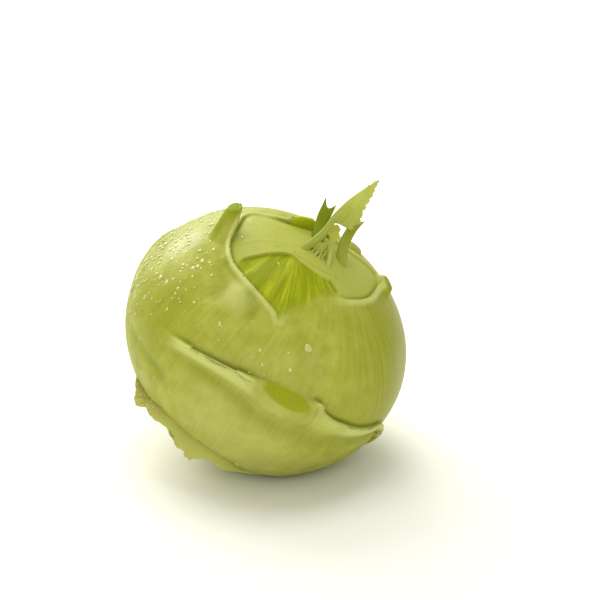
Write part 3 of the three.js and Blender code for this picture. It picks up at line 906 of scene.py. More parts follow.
    def lay_base(self, form: Form, base: LeafBase, line: SkinLine) -> None:
        """Lays one leaf base: its rim, the lean of its lip and the marks along it."""
        near = line.near(form.plain, form.normals)
        height = line.read(Reading.HEIGHT, near.share) * self.torn(near.share, base.tear)
        stated = line.read(Reading.WALL, near.share)
        wall = self.rim_form.wall_of(stated, height)
        roll = line.read(Reading.ROLL, near.share)
        rim = Rim(near.signed, near.share, near.outward, height, stated, wall, roll, self.rim_tones)
        lift = self.rim_form.across(rim, base.shoulder)
        form.raised = np.maximum(form.raised, lift)
        form.sunk = np.minimum(form.sunk, lift)
        fading = np.exp(-rim.signed / (self.rim_form.lean_roll * rim.roll))
        top = np.where(rim.signed > 0, fading, 1.0) * rim.climb * rim.strength
        form.lean -= rim.outward * (base.lean * rim.height * top * rim.steep)[:, None]
        form.tighten(self.spacing_at(np.abs(rim.signed), rim.strength))
        self.mark_rim(form, rim)
        if base.kind is Kind.COLLAR:
            self.mark_collar(form, rim)
        elif base.kind is Kind.TORN:
            self.mark_torn(form, rim)

    def torn(self, share: Array, tear: float) -> Array:
        """The torn edge's teeth, as a share of the flap's height."""
        coarse, fine = self.tooth_turns
        small = self.small_teeth * (np.abs(np.sin(share * fine)) - 0.5)
        return 1 + tear * (np.sin(share * coarse + 1) + small)

    def mark_rim(self, form: Form, rim: Rim) -> None:
        """Marks the pale lip with its painted highlight, the painted shade in the valley below it and along
        the wall's foot, and the wide cut of a rim.
        """
        tones = self.rim_tones
        # Painted shade in the valley below the lip.
        shade = bell(rim.signed, tones.shade_at * rim.roll, tones.shade_half * rim.roll)
        shade = shade * smooth(rim.roll, *tones.shade_rolls)
        form.mark("valley", shade * rim.strength * (rim.signed > 0))
        wide = smooth(rim.roll, *tones.wide_rolls)
        # Painted highlight along the lip's lit top, over paler leaf-base skin.
        start, end = tones.pale_rolls
        start = start - tones.wide_shift * wide
        pale = 1 - smooth(rim.signed, start * rim.roll, end * rim.roll)
        pale = pale * rim.climb * rim.strength * (1 - tones.wide_loss * wide)
        form.mark("lip", pale * rim.steep)
        # Painted shade along the foot of the wall.
        form.mark("crease", rim.foot)
        opened = rim.face(tones.cut_foot, tones.cut_top)
        form.mark("cut", smooth(rim.stated, *tones.cut_walls) * opened)

    def mark_collar(self, form: Form, rim: Rim) -> None:
        """Marks the painted light on the collar's back flap, which stands for light shining through it, and
        ends the cap and the fan at the collar.
        """
        tones = self.rim_tones
        # Painted light where light shines through the collar's back flap.
        face = rim.face(tones.lit_flap_foot, tones.lit_flap_top)
        form.mark("young", smooth(rim.height, *tones.lit_flap_heights) * face)
        form.fade("cap", 1 - smooth(rim.signed, *tones.cap_end))
        inner, outer = -tones.fan_end - 1.2 * rim.wall, tones.fan_end + 0.6 * rim.wall
        form.fade("fan", 1 - smooth(rim.signed, inner, outer))

    def mark_torn(self, form: Form, rim: Rim) -> None:
        """Marks the torn flap's pale edge and its withered brown foot."""
        tones = self.rim_tones
        flap = window(rim.signed, (-rim.wall - 0.4, -0.3 * rim.wall), tones.torn_edge)
        form.mark("torn", flap * smooth(rim.height, *tones.torn_heights))
        left = 1 - smooth(rim.share, *tones.withered_end)
        form.mark("brown", tones.withered * rim.foot * left)

    def lay_swellings(self, form: Form) -> None:
        """Lays the soft swellings and hollows."""
        for swelling in self.swellings:
            apart = form.far_from(self.bulb.spot(*swelling.at))
            form.soft += swelling.height * bell(apart, 0.0, swelling.radius)

    def lay_grooves(self, form: Form) -> None:
        """Lays the fine lines and the soft valleys."""
        ends = (0.0, self.groove_ends), (1.0 - self.groove_ends, 1.0)
        for groove, line in zip(self.grooves, self.groove_lines):
            near = line.near(form.plain, form.normals)
            shows = window(near.share, *ends)
            dent = bell(near.signed, 0.0, groove.width) * shows
            form.soft -= groove.depth * dent
            # Painted shade in the groove.
            form.mark("crease", groove.green * dent)
            if groove.width < self.fine_groove:
                form.tighten(self.spacing_at(np.abs(near.signed), shows))

    def lay_root(self, form: Form) -> None:
        """Lays the trimmed root underneath."""
        apart = form.far_from(self.bulb.spot(0, -90)) - self.root_radius
        form.soft += self.root_height * (1 - smooth(apart, 0.0, self.root_fade))
        form.mark("root", 1 - smooth(apart, *self.root_tone))

    def lay_stubs(self, form: Form) -> None:
        """Lays the stubs of the cut stalks."""
        for stub in self.stubs:
            share = stub.far(self.bulb, form.plain)
            rise = 1 - smooth(share, *self.stub_side)
            form.stretch += np.outer(rise * stub.height, normalised(np.array(stub.towards)))
            form.stood = np.maximum(form.stood, rise)
            face = 1 - smooth(share, *self.stub_tone)
            face = np.maximum(face, stub.front(self.bulb, form.plain, share))
            form.mark("stub", face * (1 - stub.cork))
            form.mark("root", face * stub.cork)
            close = 1 - smooth(share, *self.near_stub)
            form.tighten(mix(self.open_spacing, self.stub_spacing, close))

    def lay_tones(self, form: Form) -> None:
        """Lays the patches of another tone, painted highlight and painted shade among them, and the brown
        spots.
        """
        for patch in self.patches:
            apart = form.far_from(self.bulb.spot(*patch.at))
            form.mark(patch.mask, patch.strength * (1 - smooth(apart, patch.near, patch.far)))
        for spot in self.blemishes:
            apart = form.far_from(self.bulb.spot(*spot.at)) / spot.radius
            form.mark("brown", spot.depth * (1 - smooth(apart, *self.blemish_edge)))

    def spacing_at(self, distance: Array, strength: Array) -> Array:
        """The wanted spacing at a distance from a rim of some strength, from 0 to 1."""
        fine = self.fine_spacing + self.spreading * np.maximum(distance - self.fine_width, 0.0)
        return np.where(strength > self.faint, np.minimum(fine, self.open_spacing), self.open_spacing)


def finish_mesh(name: str, bm: Draft, masks: dict[str, Array] | None = None) -> Piece:
    """Turns a finished draft, in millimetres, into a piece in metres.

    Args:
        name: The piece's name.
        bm: The mesh. It is freed here.
        masks: Numbers or vectors for each vertex, kept as attributes of those names.

    Returns:
        The piece's object, at the origin.
    """
    bmesh.ops.scale(bm, vec=(MM, MM, MM), verts=bm.verts)
    mesh = bpy.data.meshes.new(name)
    bm.to_mesh(mesh)
    bm.free()
    for attribute, values in (masks or {}).items():
        if values.ndim == 1:
            layer = mesh.attributes.new(attribute, "FLOAT", "POINT")
            layer.data.foreach_set("value", values.astype(np.float32))
        else:
            layer = mesh.attributes.new(attribute, "FLOAT_VECTOR", "POINT")
            layer.data.foreach_set("vector", values.astype(np.float32).ravel())
    mesh.shade_smooth()
    piece = bpy.data.objects.new(name, mesh)
    bpy.context.scene.collection.objects.link(piece)
    return piece


def vertex_places(bm: Draft) -> Array:
    """Reads the places of a bmesh's vertices, one a row."""
    return np.array([vertex.co[:] for vertex in bm.verts])


def move_vertices(bm: Draft, places: Array) -> None:
    """Moves a bmesh's vertices to places, one a row."""
    for vertex, place in zip(bm.verts, places.tolist()):
        vertex.co = place


@dataclass
class BulbSkin:
    """The bulb's skin as one fine mesh."""

    skin: Skin
    name: str = "bulb_skin"
    subdivisions: int = 6
    passes: int = 5
    slack: float = 1.35

    def grow(self) -> Piece:
        """Makes the mesh: a ball, divided finely at the rims, then moved to the skin's form.

        Returns:
            The skin's object.
        """
        bm = bmesh.new()
        bmesh.ops.create_icosphere(bm, subdivisions=self.subdivisions, radius=1.0)
        for _ in range(self.passes):
            if not self.divide(bm):
                break
        units = normalised(vertex_places(bm))
        form = self.skin.shape(units)
        move_vertices(bm, form.place)
        masks = {**form.masks, "grain": self.grain(units), "fan_grain": self.fan_grain(units)}
        return finish_mesh(self.name, bm, masks)

    def divide(self, bm: Draft) -> bool:
        """Divides the edges that are too long for their place.

        Args:
            bm: The mesh, as unit vectors.

        Returns:
            Whether any edge was divided.
        """
        form = self.skin.shape(normalised(vertex_places(bm)))
        places, spacing = form.place, form.spacing
        bm.verts.index_update()
        ends = np.array([[edge.verts[0].index, edge.verts[1].index] for edge in bm.edges])
        length = np.linalg.norm(places[ends[:, 0]] - places[ends[:, 1]], axis=1)
        wanted = np.minimum(spacing[ends[:, 0]], spacing[ends[:, 1]])
        too_long = length > wanted * self.slack
        if not too_long.any():
            return False
        edges = [edge for edge, long in zip(bm.edges, too_long) if long]
        bmesh.ops.subdivide_edges(bm, edges=edges, cuts=1, use_grid_fill=True)
        bmesh.ops.triangulate(bm, faces=[face for face in bm.faces if len(face.verts) > 3])
        for vertex in bm.verts:
            vertex.co.normalize()
        return True

    def grain(self, units: Array) -> Array:
        """The direction round the axis and the height along it, which the streaks follow."""
        flat = normalised(units[:, :2])
        return np.column_stack([flat, np.arcsin(np.clip(units[:, 2], -1, 1))])

    def fan_grain(self, units: Array) -> Array:
        """The direction round the fan's apex and the distance from it."""
        apex = self.skin.bulb.unit_at(*self.skin.fan.apex)
        east = normalised(np.cross([0.0, 0.0, 1.0], apex))
        north = np.cross(apex, east)
        flat = np.column_stack([units @ east, units @ north])
        return np.column_stack([normalised(flat), np.linalg.norm(flat, axis=1)])


@dataclass(frozen=True)
class CrownFrame:
    """The crown's own directions and place, in which the young leaves are laid out."""

    bulb: BulbFrame

    def out(self, points: Array) -> Array:
        """Turns places of the crown into places of the model."""
        return self.bulb.spot(0, 90) + np.asarray(points) @ self.bulb.basis


@dataclass
class Tube:
    """A closed skin round a line, made from a rolled-up grid."""

    name: str
    rows: int
    columns: int

    def roll(self, place: Callable[[Array, Array], Array]) -> Piece:
        """Makes the mesh.

        Args:
            place: Gives places for shares of the length and shares of the turn.

        Returns:
            The piece, with the attribute "run" holding the share of the length and the turn.
        """
        bm = bmesh.new()
        bmesh.ops.create_grid(bm, x_segments=self.columns, y_segments=self.rows, size=1.0)
        flat = vertex_places(bm)
        share, turn = (flat[:, 1] + 1) / 2, (flat[:, 0] + 1) / 2
        move_vertices(bm, place(share, turn))
        run = bm.verts.layers.float_vector.new("run")
        for vertex, a, b in zip(bm.verts, share, turn):
            vertex[run] = (a, math.cos(2 * math.pi * b), math.sin(2 * math.pi * b))
        bmesh.ops.remove_doubles(bm, verts=bm.verts, dist=1e-4)
        rims = [edge for edge in bm.edges if edge.is_boundary]
        caps = bmesh.ops.holes_fill(bm, edges=rims, sides=0)["faces"]
        bmesh.ops.poke(bm, faces=caps)
        bmesh.ops.recalc_face_normals(bm, faces=bm.faces)
        return finish_mesh(self.name, bm)


def along_line(line: Array, share: Array, side: Point) -> Triple:
    """Follows a drawn line.

    Args:
        line: The line.
        share: Shares of its length.
        side: The side to which "across" points, roughly.

    Returns:
        The places, the directions along the line and the directions across it.
    """
    step = 0.01
    middle = curve_at(line, share)
    along = normalised(curve_at(line, share + step) - curve_at(line, share - step))
    wished = np.array(side, dtype=float)
    return middle, along, normalised(wished - along * (along @ wished)[:, None])


@dataclass
class LeafForm:
    """A leaf on its rib: a stem that widens into a toothed blade."""

    name: str
    rib: tuple[Point, ...]
    side: Point
    stem_half: Pair
    blade_from: float
    blade_edge: tuple[Point, ...] = ()
    blade_width: float = 0.0
    blade_half: float = 0.3
    tooth: float = 1.0
    teeth: float = 21.0
    frayed_from: float = 0.88
    frayed_over: float = 0.06
    taper: float = 0.55
    roughness: float = 2.2
    crinkle: float = 0.2
    line_steps: int = 24
    rows: int = 120
    columns: int = 56

    def grow(self, crown: CrownFrame) -> Piece:
        """Makes the leaf's mesh."""
        line = smooth_line(np.array(self.rib, dtype=float), False, self.line_steps)
        spread = self.edged_blade if self.blade_edge else self.even_blade

        def place(share: Array, turn: Array) -> Array:
            """Places the leaf's surface at shares of its length and of the turn round it."""
            middle, along, bare = along_line(line, share, self.side)
            half = mix(*self.stem_half, smooth(share, 0.0, 0.9))
            right, left, grown = spread(share, middle, bare, half)
            normal = normalised(np.cross(along, right))
            swing = np.cos(2 * np.pi * turn)
            across = np.where(swing[:, None] > 0, right * swing[:, None], -left * swing[:, None])
            away = np.linalg.norm(across, axis=1)
            round_off = np.sqrt(np.maximum(1 - swing**2, 0.0))
            body = half * bell(away, 0.0, np.maximum(half, 1e-6))
            thick = mix(half * round_off, np.maximum(body, self.blade_half * round_off**0.5), grown)
            face = np.sign(np.sin(2 * np.pi * turn))
            wave = np.sin(share * 38 + away * 0.8) * self.crinkle * grown * smooth(away, 0.6, 3.5)
            return crown.out(middle + across + normal * (face * thick + wave)[:, None])

        return Tube(self.name, self.rows, self.columns).roll(place)

    def blade_share(self, share: Array) -> Array:
        """Turns shares of the leaf's length into shares of its blade's."""
        return np.clip((share - self.blade_from) / (1 - self.blade_from), 0.0, 1.0)

    def saw(self, blade: Array) -> Array:
        """The uneven teeth along the blade, about 0 in the middle."""
        run = blade * self.teeth
        teeth = np.abs(run % 1.0 - 0.35) - 0.3
        return teeth + (0.3 * np.sin(run * 2.3 + 1) + 0.2 * np.sin(run * 9.1))

    def even_blade(self, share: Array, middle: Array, bare: Array, half: Array) -> Triple:
        """Spreads a blade that is equally wide on both sides of its rib.

        Args:
            share: Shares of the leaf's length.
            middle: The places on the rib.
            bare: The directions across it.
            half: Half the stem's width.

        Returns:
            The reach to the right and to the left, and how far the blade is grown.
        """
        blade = self.blade_share(share)
        width = self.blade_width * (1 - self.taper * smooth(blade, 0.7, 1.0))
        width = width + self.saw(blade) * self.tooth
        grown = smooth(share, self.blade_from, self.blade_from + 0.2)
        right = bare * mix(half, width, grown)[:, None]
        return right, -right, grown

    def edged_blade(self, share: Array, middle: Array, bare: Array, half: Array) -> Triple:
        """Spreads a blade on one side, out to its drawn edge, that frays to a strand at its tip.

        Args:
            share: Shares of the leaf's length.
            middle: The places on the rib.
            bare: The directions across it.
            half: Half the stem's width.

        Returns:
            The reach to the right and to the left, and how far the blade is grown.
        """
        blade = self.blade_share(share)
        saw = self.saw(blade)
        edge = smooth_line(np.array(self.blade_edge, dtype=float), False, self.line_steps)
        reach = curve_at(edge, blade) - middle
        reach += normalised(reach) * (saw * self.tooth * (1 - 0.5 * blade))[:, None]
        frayed = smooth(blade, self.frayed_from, self.frayed_from + self.frayed_over)
        strand = bare * (half * (0.7 + 0.5 * saw))[:, None]
        reach = mix(reach, strand, frayed[:, None])
        grown = smooth(share, self.blade_from - 0.012, self.blade_from + 0.004)
        right = mix(bare * half[:, None], reach, grown[:, None])
        rough = 1 + self.roughness * np.maximum(saw, 0.0) * smooth(blade, 0.7, 0.8)
        return right, -bare * (half * rough)[:, None], grown


@dataclass
class StalkForm:
    """A broken leaf stalk: an oval stem with a channel, ending in a jagged tear."""

    name: str
    rib: tuple[Point, ...]
    side: Point
    width: Pair
    thickness: Pair
    jag: tuple[float, ...]
    channel: float = 0.25
    channel_at: float = 0.25
    channel_width: float = 0.1
    ridge: float = 0.035
    ridges: int = 7
    closed_from: float = 0.94
    narrowing: float = 0.75
    sunk_end: float = 0.7
    torn_from: float = 0.86
    rows: int = 60
    columns: int = 48

    def grow(self, crown: CrownFrame) -> Piece:
        """Makes the stalk's mesh."""
        line = smooth_line(np.array(self.rib, dtype=float), False, 24)
        jag = np.array((*self.jag, self.jag[0]))

        def place(share: Array, turn: Array) -> Array:
            """Places the stalk's surface at shares of its length and of the turn round it."""
            run = np.minimum(share / self.closed_from, 1.0)
            closing = np.clip((share - self.closed_from) / (1 - self.closed_from), 0.0, 1.0)
            middle, along, across = along_line(line, run, self.side)
            normal = np.cross(across, along)
            angle = 2 * np.pi * turn
            ridges = 1 + self.ridge * np.sin(angle * self.ridges) * smooth(run, 0.1, 0.5)
            ridges = ridges * (1 - self.narrowing * closing)
            wide, thick = mix(*self.width, run) * ridges, mix(*self.thickness, run) * ridges
            channel = self.channel * bell(turn, self.channel_at, self.channel_width)
            dent = 1 - channel * smooth(run, 0.2, 0.7)
            tear = np.interp(turn * (len(jag) - 1), np.arange(len(jag)), jag)
            tear = tear * smooth(run, self.torn_from, 1.0) * (1 - 0.9 * closing)
            tear = tear - self.sunk_end * closing
            offset = across * (wide * np.cos(angle))[:, None]
            offset += normal * (thick * np.sin(angle) * dent)[:, None]
            return crown.out(middle + offset + along * tear[:, None])

        return Tube(self.name, self.rows, self.columns).roll(place)


def ride_root(piece: Piece, slot: str, *nodes: str) -> None:
    """Fastens a piece to the one body, and hides the CAD nodes that it stands for.

    Args:
        piece: The piece.
        slot: Not used.
        nodes: The CAD nodes that it replaces.
    """
    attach(piece, ROOT_BODY)
    if nodes:
        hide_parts(*nodes)
    log.info("made %s with %d faces", piece.name, len(piece.data.polygons))


@dataclass
class Bench:
    """A material being wired: makes nodes and joins them."""

    tree: Tree

    def node(self, kind: str, **settings: object) -> Node:
        """Adds a node and sets its own settings."""
        made = self.tree.nodes.new(kind)
        for name, value in settings.items():
            setattr(made, name, value)
        return made

    def join(self, source: Socket, target: Socket) -> None:
        """Links two sockets."""
        self.tree.links.new(source, target)

    def feed(self, socket: Socket, value: object) -> None:
        """Gives a socket a link or a plain value."""
        if isinstance(value, Socket):
            self.join(value, socket)
        else:
            socket.default_value = value

    def math(self, operation: str, first: object, second: object) -> Socket:
        """Adds a Math node."""
        made = self.node("ShaderNodeMath", operation=operation)
        self.feed(made.inputs[0], first)
        self.feed(made.inputs[1], second)
        return made.outputs[0]

    def blend(self, share: object, low: object, high: object) -> Socket:
        """Mixes two colours."""
        made = self.node("ShaderNodeMix", data_type="RGBA")
        self.feed(made.inputs["Factor"], share)
        self.feed(made.inputs[6], low)
        self.feed(made.inputs[7], high)
        return made.outputs[2]

    def cover(self, colour: object, *coats: tuple[Socket, float, Colour]) -> Socket:
        """Lays tones over a colour, one after another.

        Args:
            colour: The colour underneath.
            coats: For each tone, the mask that shows it, how much of it shows, and the tone.

        Returns:
            The covered colour.
        """
        for where, amount, tone in coats:
            share = where if amount == 1.0 else self.math("MULTIPLY", where, amount)
            colour = self.blend(share, colour, tint(*tone))
        return colour

    def mask(self, name: str) -> Socket:
        """Reads a number kept on the mesh."""
        return self.node("ShaderNodeAttribute", attribute_name=name).outputs["Fac"]

    def vector(self, name: str) -> Socket:
        """Reads a vector kept on the mesh."""
        return self.node("ShaderNodeAttribute", attribute_name=name).outputs["Vector"]

    def place(self) -> Socket:
        """Reads the place on the object."""
        return self.node("ShaderNodeTexCoord").outputs["Object"]

    def noise(self, vector: object, scale: object, detail: float, rough: float = 0.5) -> Socket:
        """Adds a noise texture."""
        made = self.node("ShaderNodeTexNoise")
        for name, value in (("Vector", vector), ("Scale", scale), ("Detail", detail), ("Roughness", rough)):
            self.feed(made.inputs[name], value)
        return made.outputs["Fac"]

    def span(self, value: object, low: float, high: float, first: float = 0.0, last: float = 1.0) -> Socket:
        """Maps a range of values onto another, smoothly and within its ends."""
        made = self.node("ShaderNodeMapRange", interpolation_type="SMOOTHSTEP")
        self.feed(made.inputs["Value"], value)
        for name, number in (("From Min", low), ("From Max", high), ("To Min", first), ("To Max", last)):
            made.inputs[name].default_value = number
        return made.outputs["Result"]

    def gather(self, x: Socket, y: Socket, z: Socket) -> Socket:
        """Makes a vector of three numbers."""
        made = self.node("ShaderNodeCombineXYZ")
        for name, value in (("X", x), ("Y", y), ("Z", z)):
            self.join(value, made.inputs[name])
        return made.outputs[0]

    def group(self, tree: Tree, **values: object) -> Node:
        """Places a node group with its own values."""
        made = self.node("ShaderNodeGroup", node_tree=tree)
        for name, value in values.items():
            self.feed(made.inputs[name], value)
        return made


def new_group(name: str, inputs: dict[str, str], outputs: tuple[str, ...]) -> tuple[Bench, Node, Node]:
    """Makes an empty shader group.

    Args:
        name: The group's name.
        inputs: The names of its inputs, each with Vector or Float.
        outputs: The names of its outputs, all of them plain numbers.

    Returns:
        The group's bench, and its nodes for what comes in and what goes out.
    """
    tree = bpy.data.node_groups.new(name, "ShaderNodeTree")
    for label, kind in inputs.items():
        tree.interface.new_socket(label, in_out="INPUT", socket_type=f"NodeSocket{kind}")
    for label in outputs:
        tree.interface.new_socket(label, in_out="OUTPUT", socket_type="NodeSocketFloat")
    bench = Bench(tree)
    return bench, bench.node("NodeGroupInput"), bench.node("NodeGroupOutput")


def streak_group() -> Tree:
    """Builds the fine lines that run along a surface's own grain.

    Returns:
        A group with inputs Grain, Count and Stretch, and the output Shade from 0 to 1.
    """
    inputs = {"Grain": "Vector", "Count": "Float", "Stretch": "Float"}
    bench, inner, outer = new_group("streaks", inputs, ("Shade",))
    count, stretch = inner.outputs["Count"], inner.outputs["Stretch"]
    grown = bench.node("ShaderNodeVectorMath", operation="MULTIPLY")
    bench.join(inner.outputs["Grain"], grown.inputs[0])
    bench.join(bench.gather(count, count, stretch), grown.inputs[1])
    lines = bench.noise(grown.outputs[0], 1.0, 3.0, 0.6)
    bench.join(bench.span(lines, 0.3, 0.7), outer.inputs["Shade"])
    return bench.tree


def mottle_group() -> Tree:
    """Builds soft cloudy patches with fine speckle on them.

    Returns:
        A group with the inputs Place, Patch and Speck, and the outputs Cloud and Speckle.
    """
    inputs = {"Place": "Vector", "Patch": "Float", "Speck": "Float"}
    bench, inner, outer = new_group("mottle", inputs, ("Cloud", "Speckle"))
    for size, name, detail in (("Patch", "Cloud", 2.0), ("Speck", "Speckle", 4.0)):
        texture = bench.noise(inner.outputs["Place"], inner.outputs[size], detail)
        bench.join(bench.span(texture, 0.3, 0.7), outer.inputs[name])
    return bench.tree


@dataclass
class Effects:
    """The shader groups that several finishes share."""

    streaks: Tree = field(default_factory=streak_group)
    mottle: Tree = field(default_factory=mottle_group)


def new_material(name: str) -> tuple[Material, Bench, Node]:
    """Makes an empty material with its shader.

    Args:
        name: The material's name.

    Returns:
        The material, its bench and its Principled shader.
    """
    material = bpy.data.materials.new(name)
    material.use_nodes = True
    material.node_tree.nodes.clear()
    bench = Bench(material.node_tree)
    shader = bench.node("ShaderNodeBsdfPrincipled")
    output = bench.node("ShaderNodeOutputMaterial")
    bench.join(shader.outputs[0], output.inputs["Surface"])
    return material, bench, shader


def add_depth(shader: Node, weight: float, radius: Point, scale: float) -> None:
    """Lets light into a surface.

    Args:
        shader: The shader.
        weight: How much light goes in, from 0 to 1.
        radius: How far red, green and blue light go, as shares of the scale.
        scale: The scale in millimetres.
    """
    shader.inputs["Subsurface Weight"].default_value = weight
    shader.inputs["Subsurface Radius"].default_value = radius
    shader.inputs["Subsurface Scale"].default_value = scale * MM


def add_relief(bench: Bench, shader: Node, height: Socket, depth: float) -> None:
    """Gives a shader fine relief.

    Args:
        bench: The material's bench.
        shader: The shader.
        height: The height of the relief.
        depth: What a height of 1 stands for, in millimetres.
    """
    bump = bench.node("ShaderNodeBump")
    bump.inputs["Distance"].default_value = depth * MM
    bump.inputs["Strength"].default_value = 1.0
    bench.join(height, bump.inputs["Height"])
    bench.join(bump.outputs[0], shader.inputs["Normal"])


@dataclass(frozen=True)
class SkinFinish:
    """The bulb's waxy skin: streaks, mottle, green cuts and brown scars, with painted highlights on the lips
    and a swelling, painted shade in creases, valleys and on the sides, and painted light on the collar's
    back flap.
    """

    light: Colour = (167, 169, 56)
    deep: Colour = (150, 153, 42)
    streak: Colour = (194, 196, 92)
    # Paler skin, and a painted highlight on the swelling at the upper left.
    pale_tone_and_highlight: Colour = (194, 194, 120)
    # Painted shade on the right side and on the left.
    shaded: Colour = (138, 141, 6)
    shade: Colour = (142, 146, 38)
    cap: Colour = (172, 176, 76)
    fan_green: Colour = (136, 147, 0)
    fan_pale: Colour = (178, 183, 30)
    # Pale leaf-base skin with a painted highlight along the lit top of each lip.
    rim: Colour = (208, 211, 128)
    # Painted shade at the foot of walls, in grooves and along the cap's edge.
    crease: Colour = (110, 126, 0)
    cut: Colour = (150, 160, 0)
    # Painted light through the collar's back flap, which would lie in shade.
    young: Colour = (176, 189, 26)
    stub: Colour = (128, 141, 0)
    torn: Colour = (192, 189, 96)
    brown: Colour = (112, 82, 40)
    cork: Colour = (176, 160, 112)

    def build(self, effects: Effects) -> Material:
        """Wires the material."""
        material, bench, shader = new_material("kohlrabi_skin")
        place, grain, fan_grain = bench.place(), bench.vector("grain"), bench.vector("fan_grain")
        mottle = bench.group(effects.mottle, Place=place, Patch=38.0, Speck=900.0)
        blots = bench.group(effects.mottle, Place=place, Patch=170.0, Speck=420.0)
        fine = bench.group(effects.streaks, Grain=grain, Count=42.0, Stretch=2.0).outputs[0]
        broad = bench.group(effects.streaks, Grain=grain, Count=9.0, Stretch=0.8).outputs[0]
        rays = bench.group(effects.streaks, Grain=fan_grain, Count=7.0, Stretch=2.5).outputs[0]
        hairs = bench.group(effects.streaks, Grain=fan_grain, Count=34.0, Stretch=2.5).outputs[0]
        cloud, speckle = mottle.outputs["Cloud"], mottle.outputs["Speckle"]
        colour = bench.cover(
            bench.blend(cloud, tint(*self.light), tint(*self.deep)),
            (broad, 0.5, self.deep),
            (blots.outputs["Cloud"], 0.46, self.streak),
            (blots.outputs["Speckle"], 0.3, self.deep),
            # Paler skin with a painted highlight, then painted shade on the sides and in the valleys below
            # the lips.
            (bench.mask("pale_tone_and_highlight"), 0.36, self.pale_tone_and_highlight),
            (bench.mask("shaded"), 0.9, self.shaded),
            # Painted shade in the valley below each lip.
            (bench.mask("valley"), 0.75, self.shade),
            (fine, 0.22, self.streak),
            (bench.mask("cap"), 0.75, self.cap),
        )
        fan = bench.blend(bench.span(rays, 0.1, 0.9), tint(*self.fan_pale), tint(*self.fan_green))
        fan = bench.cover(fan, (hairs, 0.75, self.fan_green))
        colour = bench.blend(bench.mask("fan"), colour, fan)
        # Painted highlight along the lips, and painted shade in the creases.
        colour = bench.cover(
            colour, (bench.mask("lip"), 0.8, self.rim), (bench.mask("crease"), 0.55, self.crease)
        )
        flesh = bench.blend(speckle, tint(*self.cut), tint(*self.deep))
        colour = bench.blend(bench.mask("cut"), colour, flesh)
        patchy = bench.math("MULTIPLY", bench.mask("brown"), bench.span(speckle, 0.1, 0.6))
        colour = bench.cover(
            colour,
            # Painted light through the collar's back flap.
            (bench.mask("young"), 1.0, self.young),
            (bench.mask("stub"), 0.9, self.stub),
            (bench.mask("torn"), 0.7, self.torn),
            (patchy, 1.0, self.brown),
            (bench.mask("root"), 1.0, self.cork),
        )
        bench.join(colour, shader.inputs["Base Color"])
        self.gloss(bench, shader, cloud)
        ribs = bench.math("MULTIPLY", bench.math("MULTIPLY", rays, bench.mask("fan")), 4.0)
        height = bench.math("ADD", bench.math("MULTIPLY", fine, 0.15), speckle)
        add_relief(bench, shader, bench.math("ADD", height, ribs), 0.06)
        add_depth(shader, 0.12, (0.8, 1.0, 0.3), 2.5)
        return material

    def gloss(self, bench: Bench, shader: Node, cloud: Socket) -> None:
        """Makes cuts and stubs dull, and the skin between the drops wet."""
        wet = bench.mask("wet")
        dull = bench.math("MAXIMUM", bench.mask("cut"), bench.mask("stub"))
        rough = bench.math("ADD", bench.span(cloud, 0.0, 1.0, 0.36, 0.46), bench.math("MULTIPLY", dull, 0.2))
        rough = bench.math("SUBTRACT", rough, bench.math("MULTIPLY", wet, 0.08))
        bench.join(rough, shader.inputs["Roughness"])
        bench.join(bench.span(wet, 0.0, 1.0, 0.12, 0.42), shader.inputs["Specular IOR Level"])


@dataclass(frozen=True)
class WaterFinish:
    """Water beads: glossy and opaque, in a tone paler than the skin under them, a painted highlight that
    stands in for light through clear water.
    """

    # Painted highlight: a tone paler than the skin, for light through clear water.
    colour: Colour = (196, 199, 112)
    rim: Colour = (176, 180, 80)

    def build(self, effects: Effects) -> Material:
        """Wires the material."""
        material, bench, shader = new_material("water_beads")
        mottle = bench.group(effects.mottle, Place=bench.place(), Patch=300.0, Speck=1400.0)
        colour = bench.blend(mottle.outputs["Cloud"], tint(*self.rim), tint(*self.colour))
        bench.join(colour, shader.inputs["Base Color"])
        bench.join(bench.span(mottle.outputs["Speckle"], 0.0, 1.0, 0.03, 0.08), shader.inputs["Roughness"])
        shader.inputs["Specular IOR Level"].default_value = 0.9
        shader.inputs["Coat Weight"].default_value = 0.6
        return material


@dataclass(frozen=True)
class LeafFinish:
    """A thin leaf or stalk: its colour varies along it, with fine veins."""

    name: str
    base: Colour
    tip: Colour
    vein: Colour
    translucent: float = 0.0

    def build(self, effects: Effects) -> Material:
        """Wires the material."""
        material, bench, shader = new_material(self.name)
        parts = bench.node("ShaderNodeSeparateXYZ")
        bench.join(bench.vector("run"), parts.inputs[0])
        share, cosine, sine = parts.outputs
        grain = bench.gather(cosine, sine, share)
        mottle = bench.group(effects.mottle, Place=bench.place(), Patch=260.0, Speck=1800.0)
        veins = bench.group(effects.streaks, Grain=grain, Count=9.0, Stretch=5.0).outputs[0]
        cloud, speckle = mottle.outputs["Cloud"], mottle.outputs["Speckle"]
        colour = bench.cover(
            bench.blend(bench.span(share, 0.15, 0.8), tint(*self.base), tint(*self.tip)),
            (veins, 0.4, self.vein),
            (cloud, 0.3, self.base),
        )
        bench.join(colour, shader.inputs["Base Color"])
        bench.join(bench.span(speckle, 0.0, 1.0, 0.4, 0.55), shader.inputs["Roughness"])
        height = bench.math("ADD", veins, bench.math("MULTIPLY", speckle, 0.5))
        add_relief(bench, shader, height, 0.05)
        shader.inputs["Specular IOR Level"].default_value = 0.2
        add_depth(shader, self.translucent, (0.9, 1.0, 0.3), 1.2)
        return material


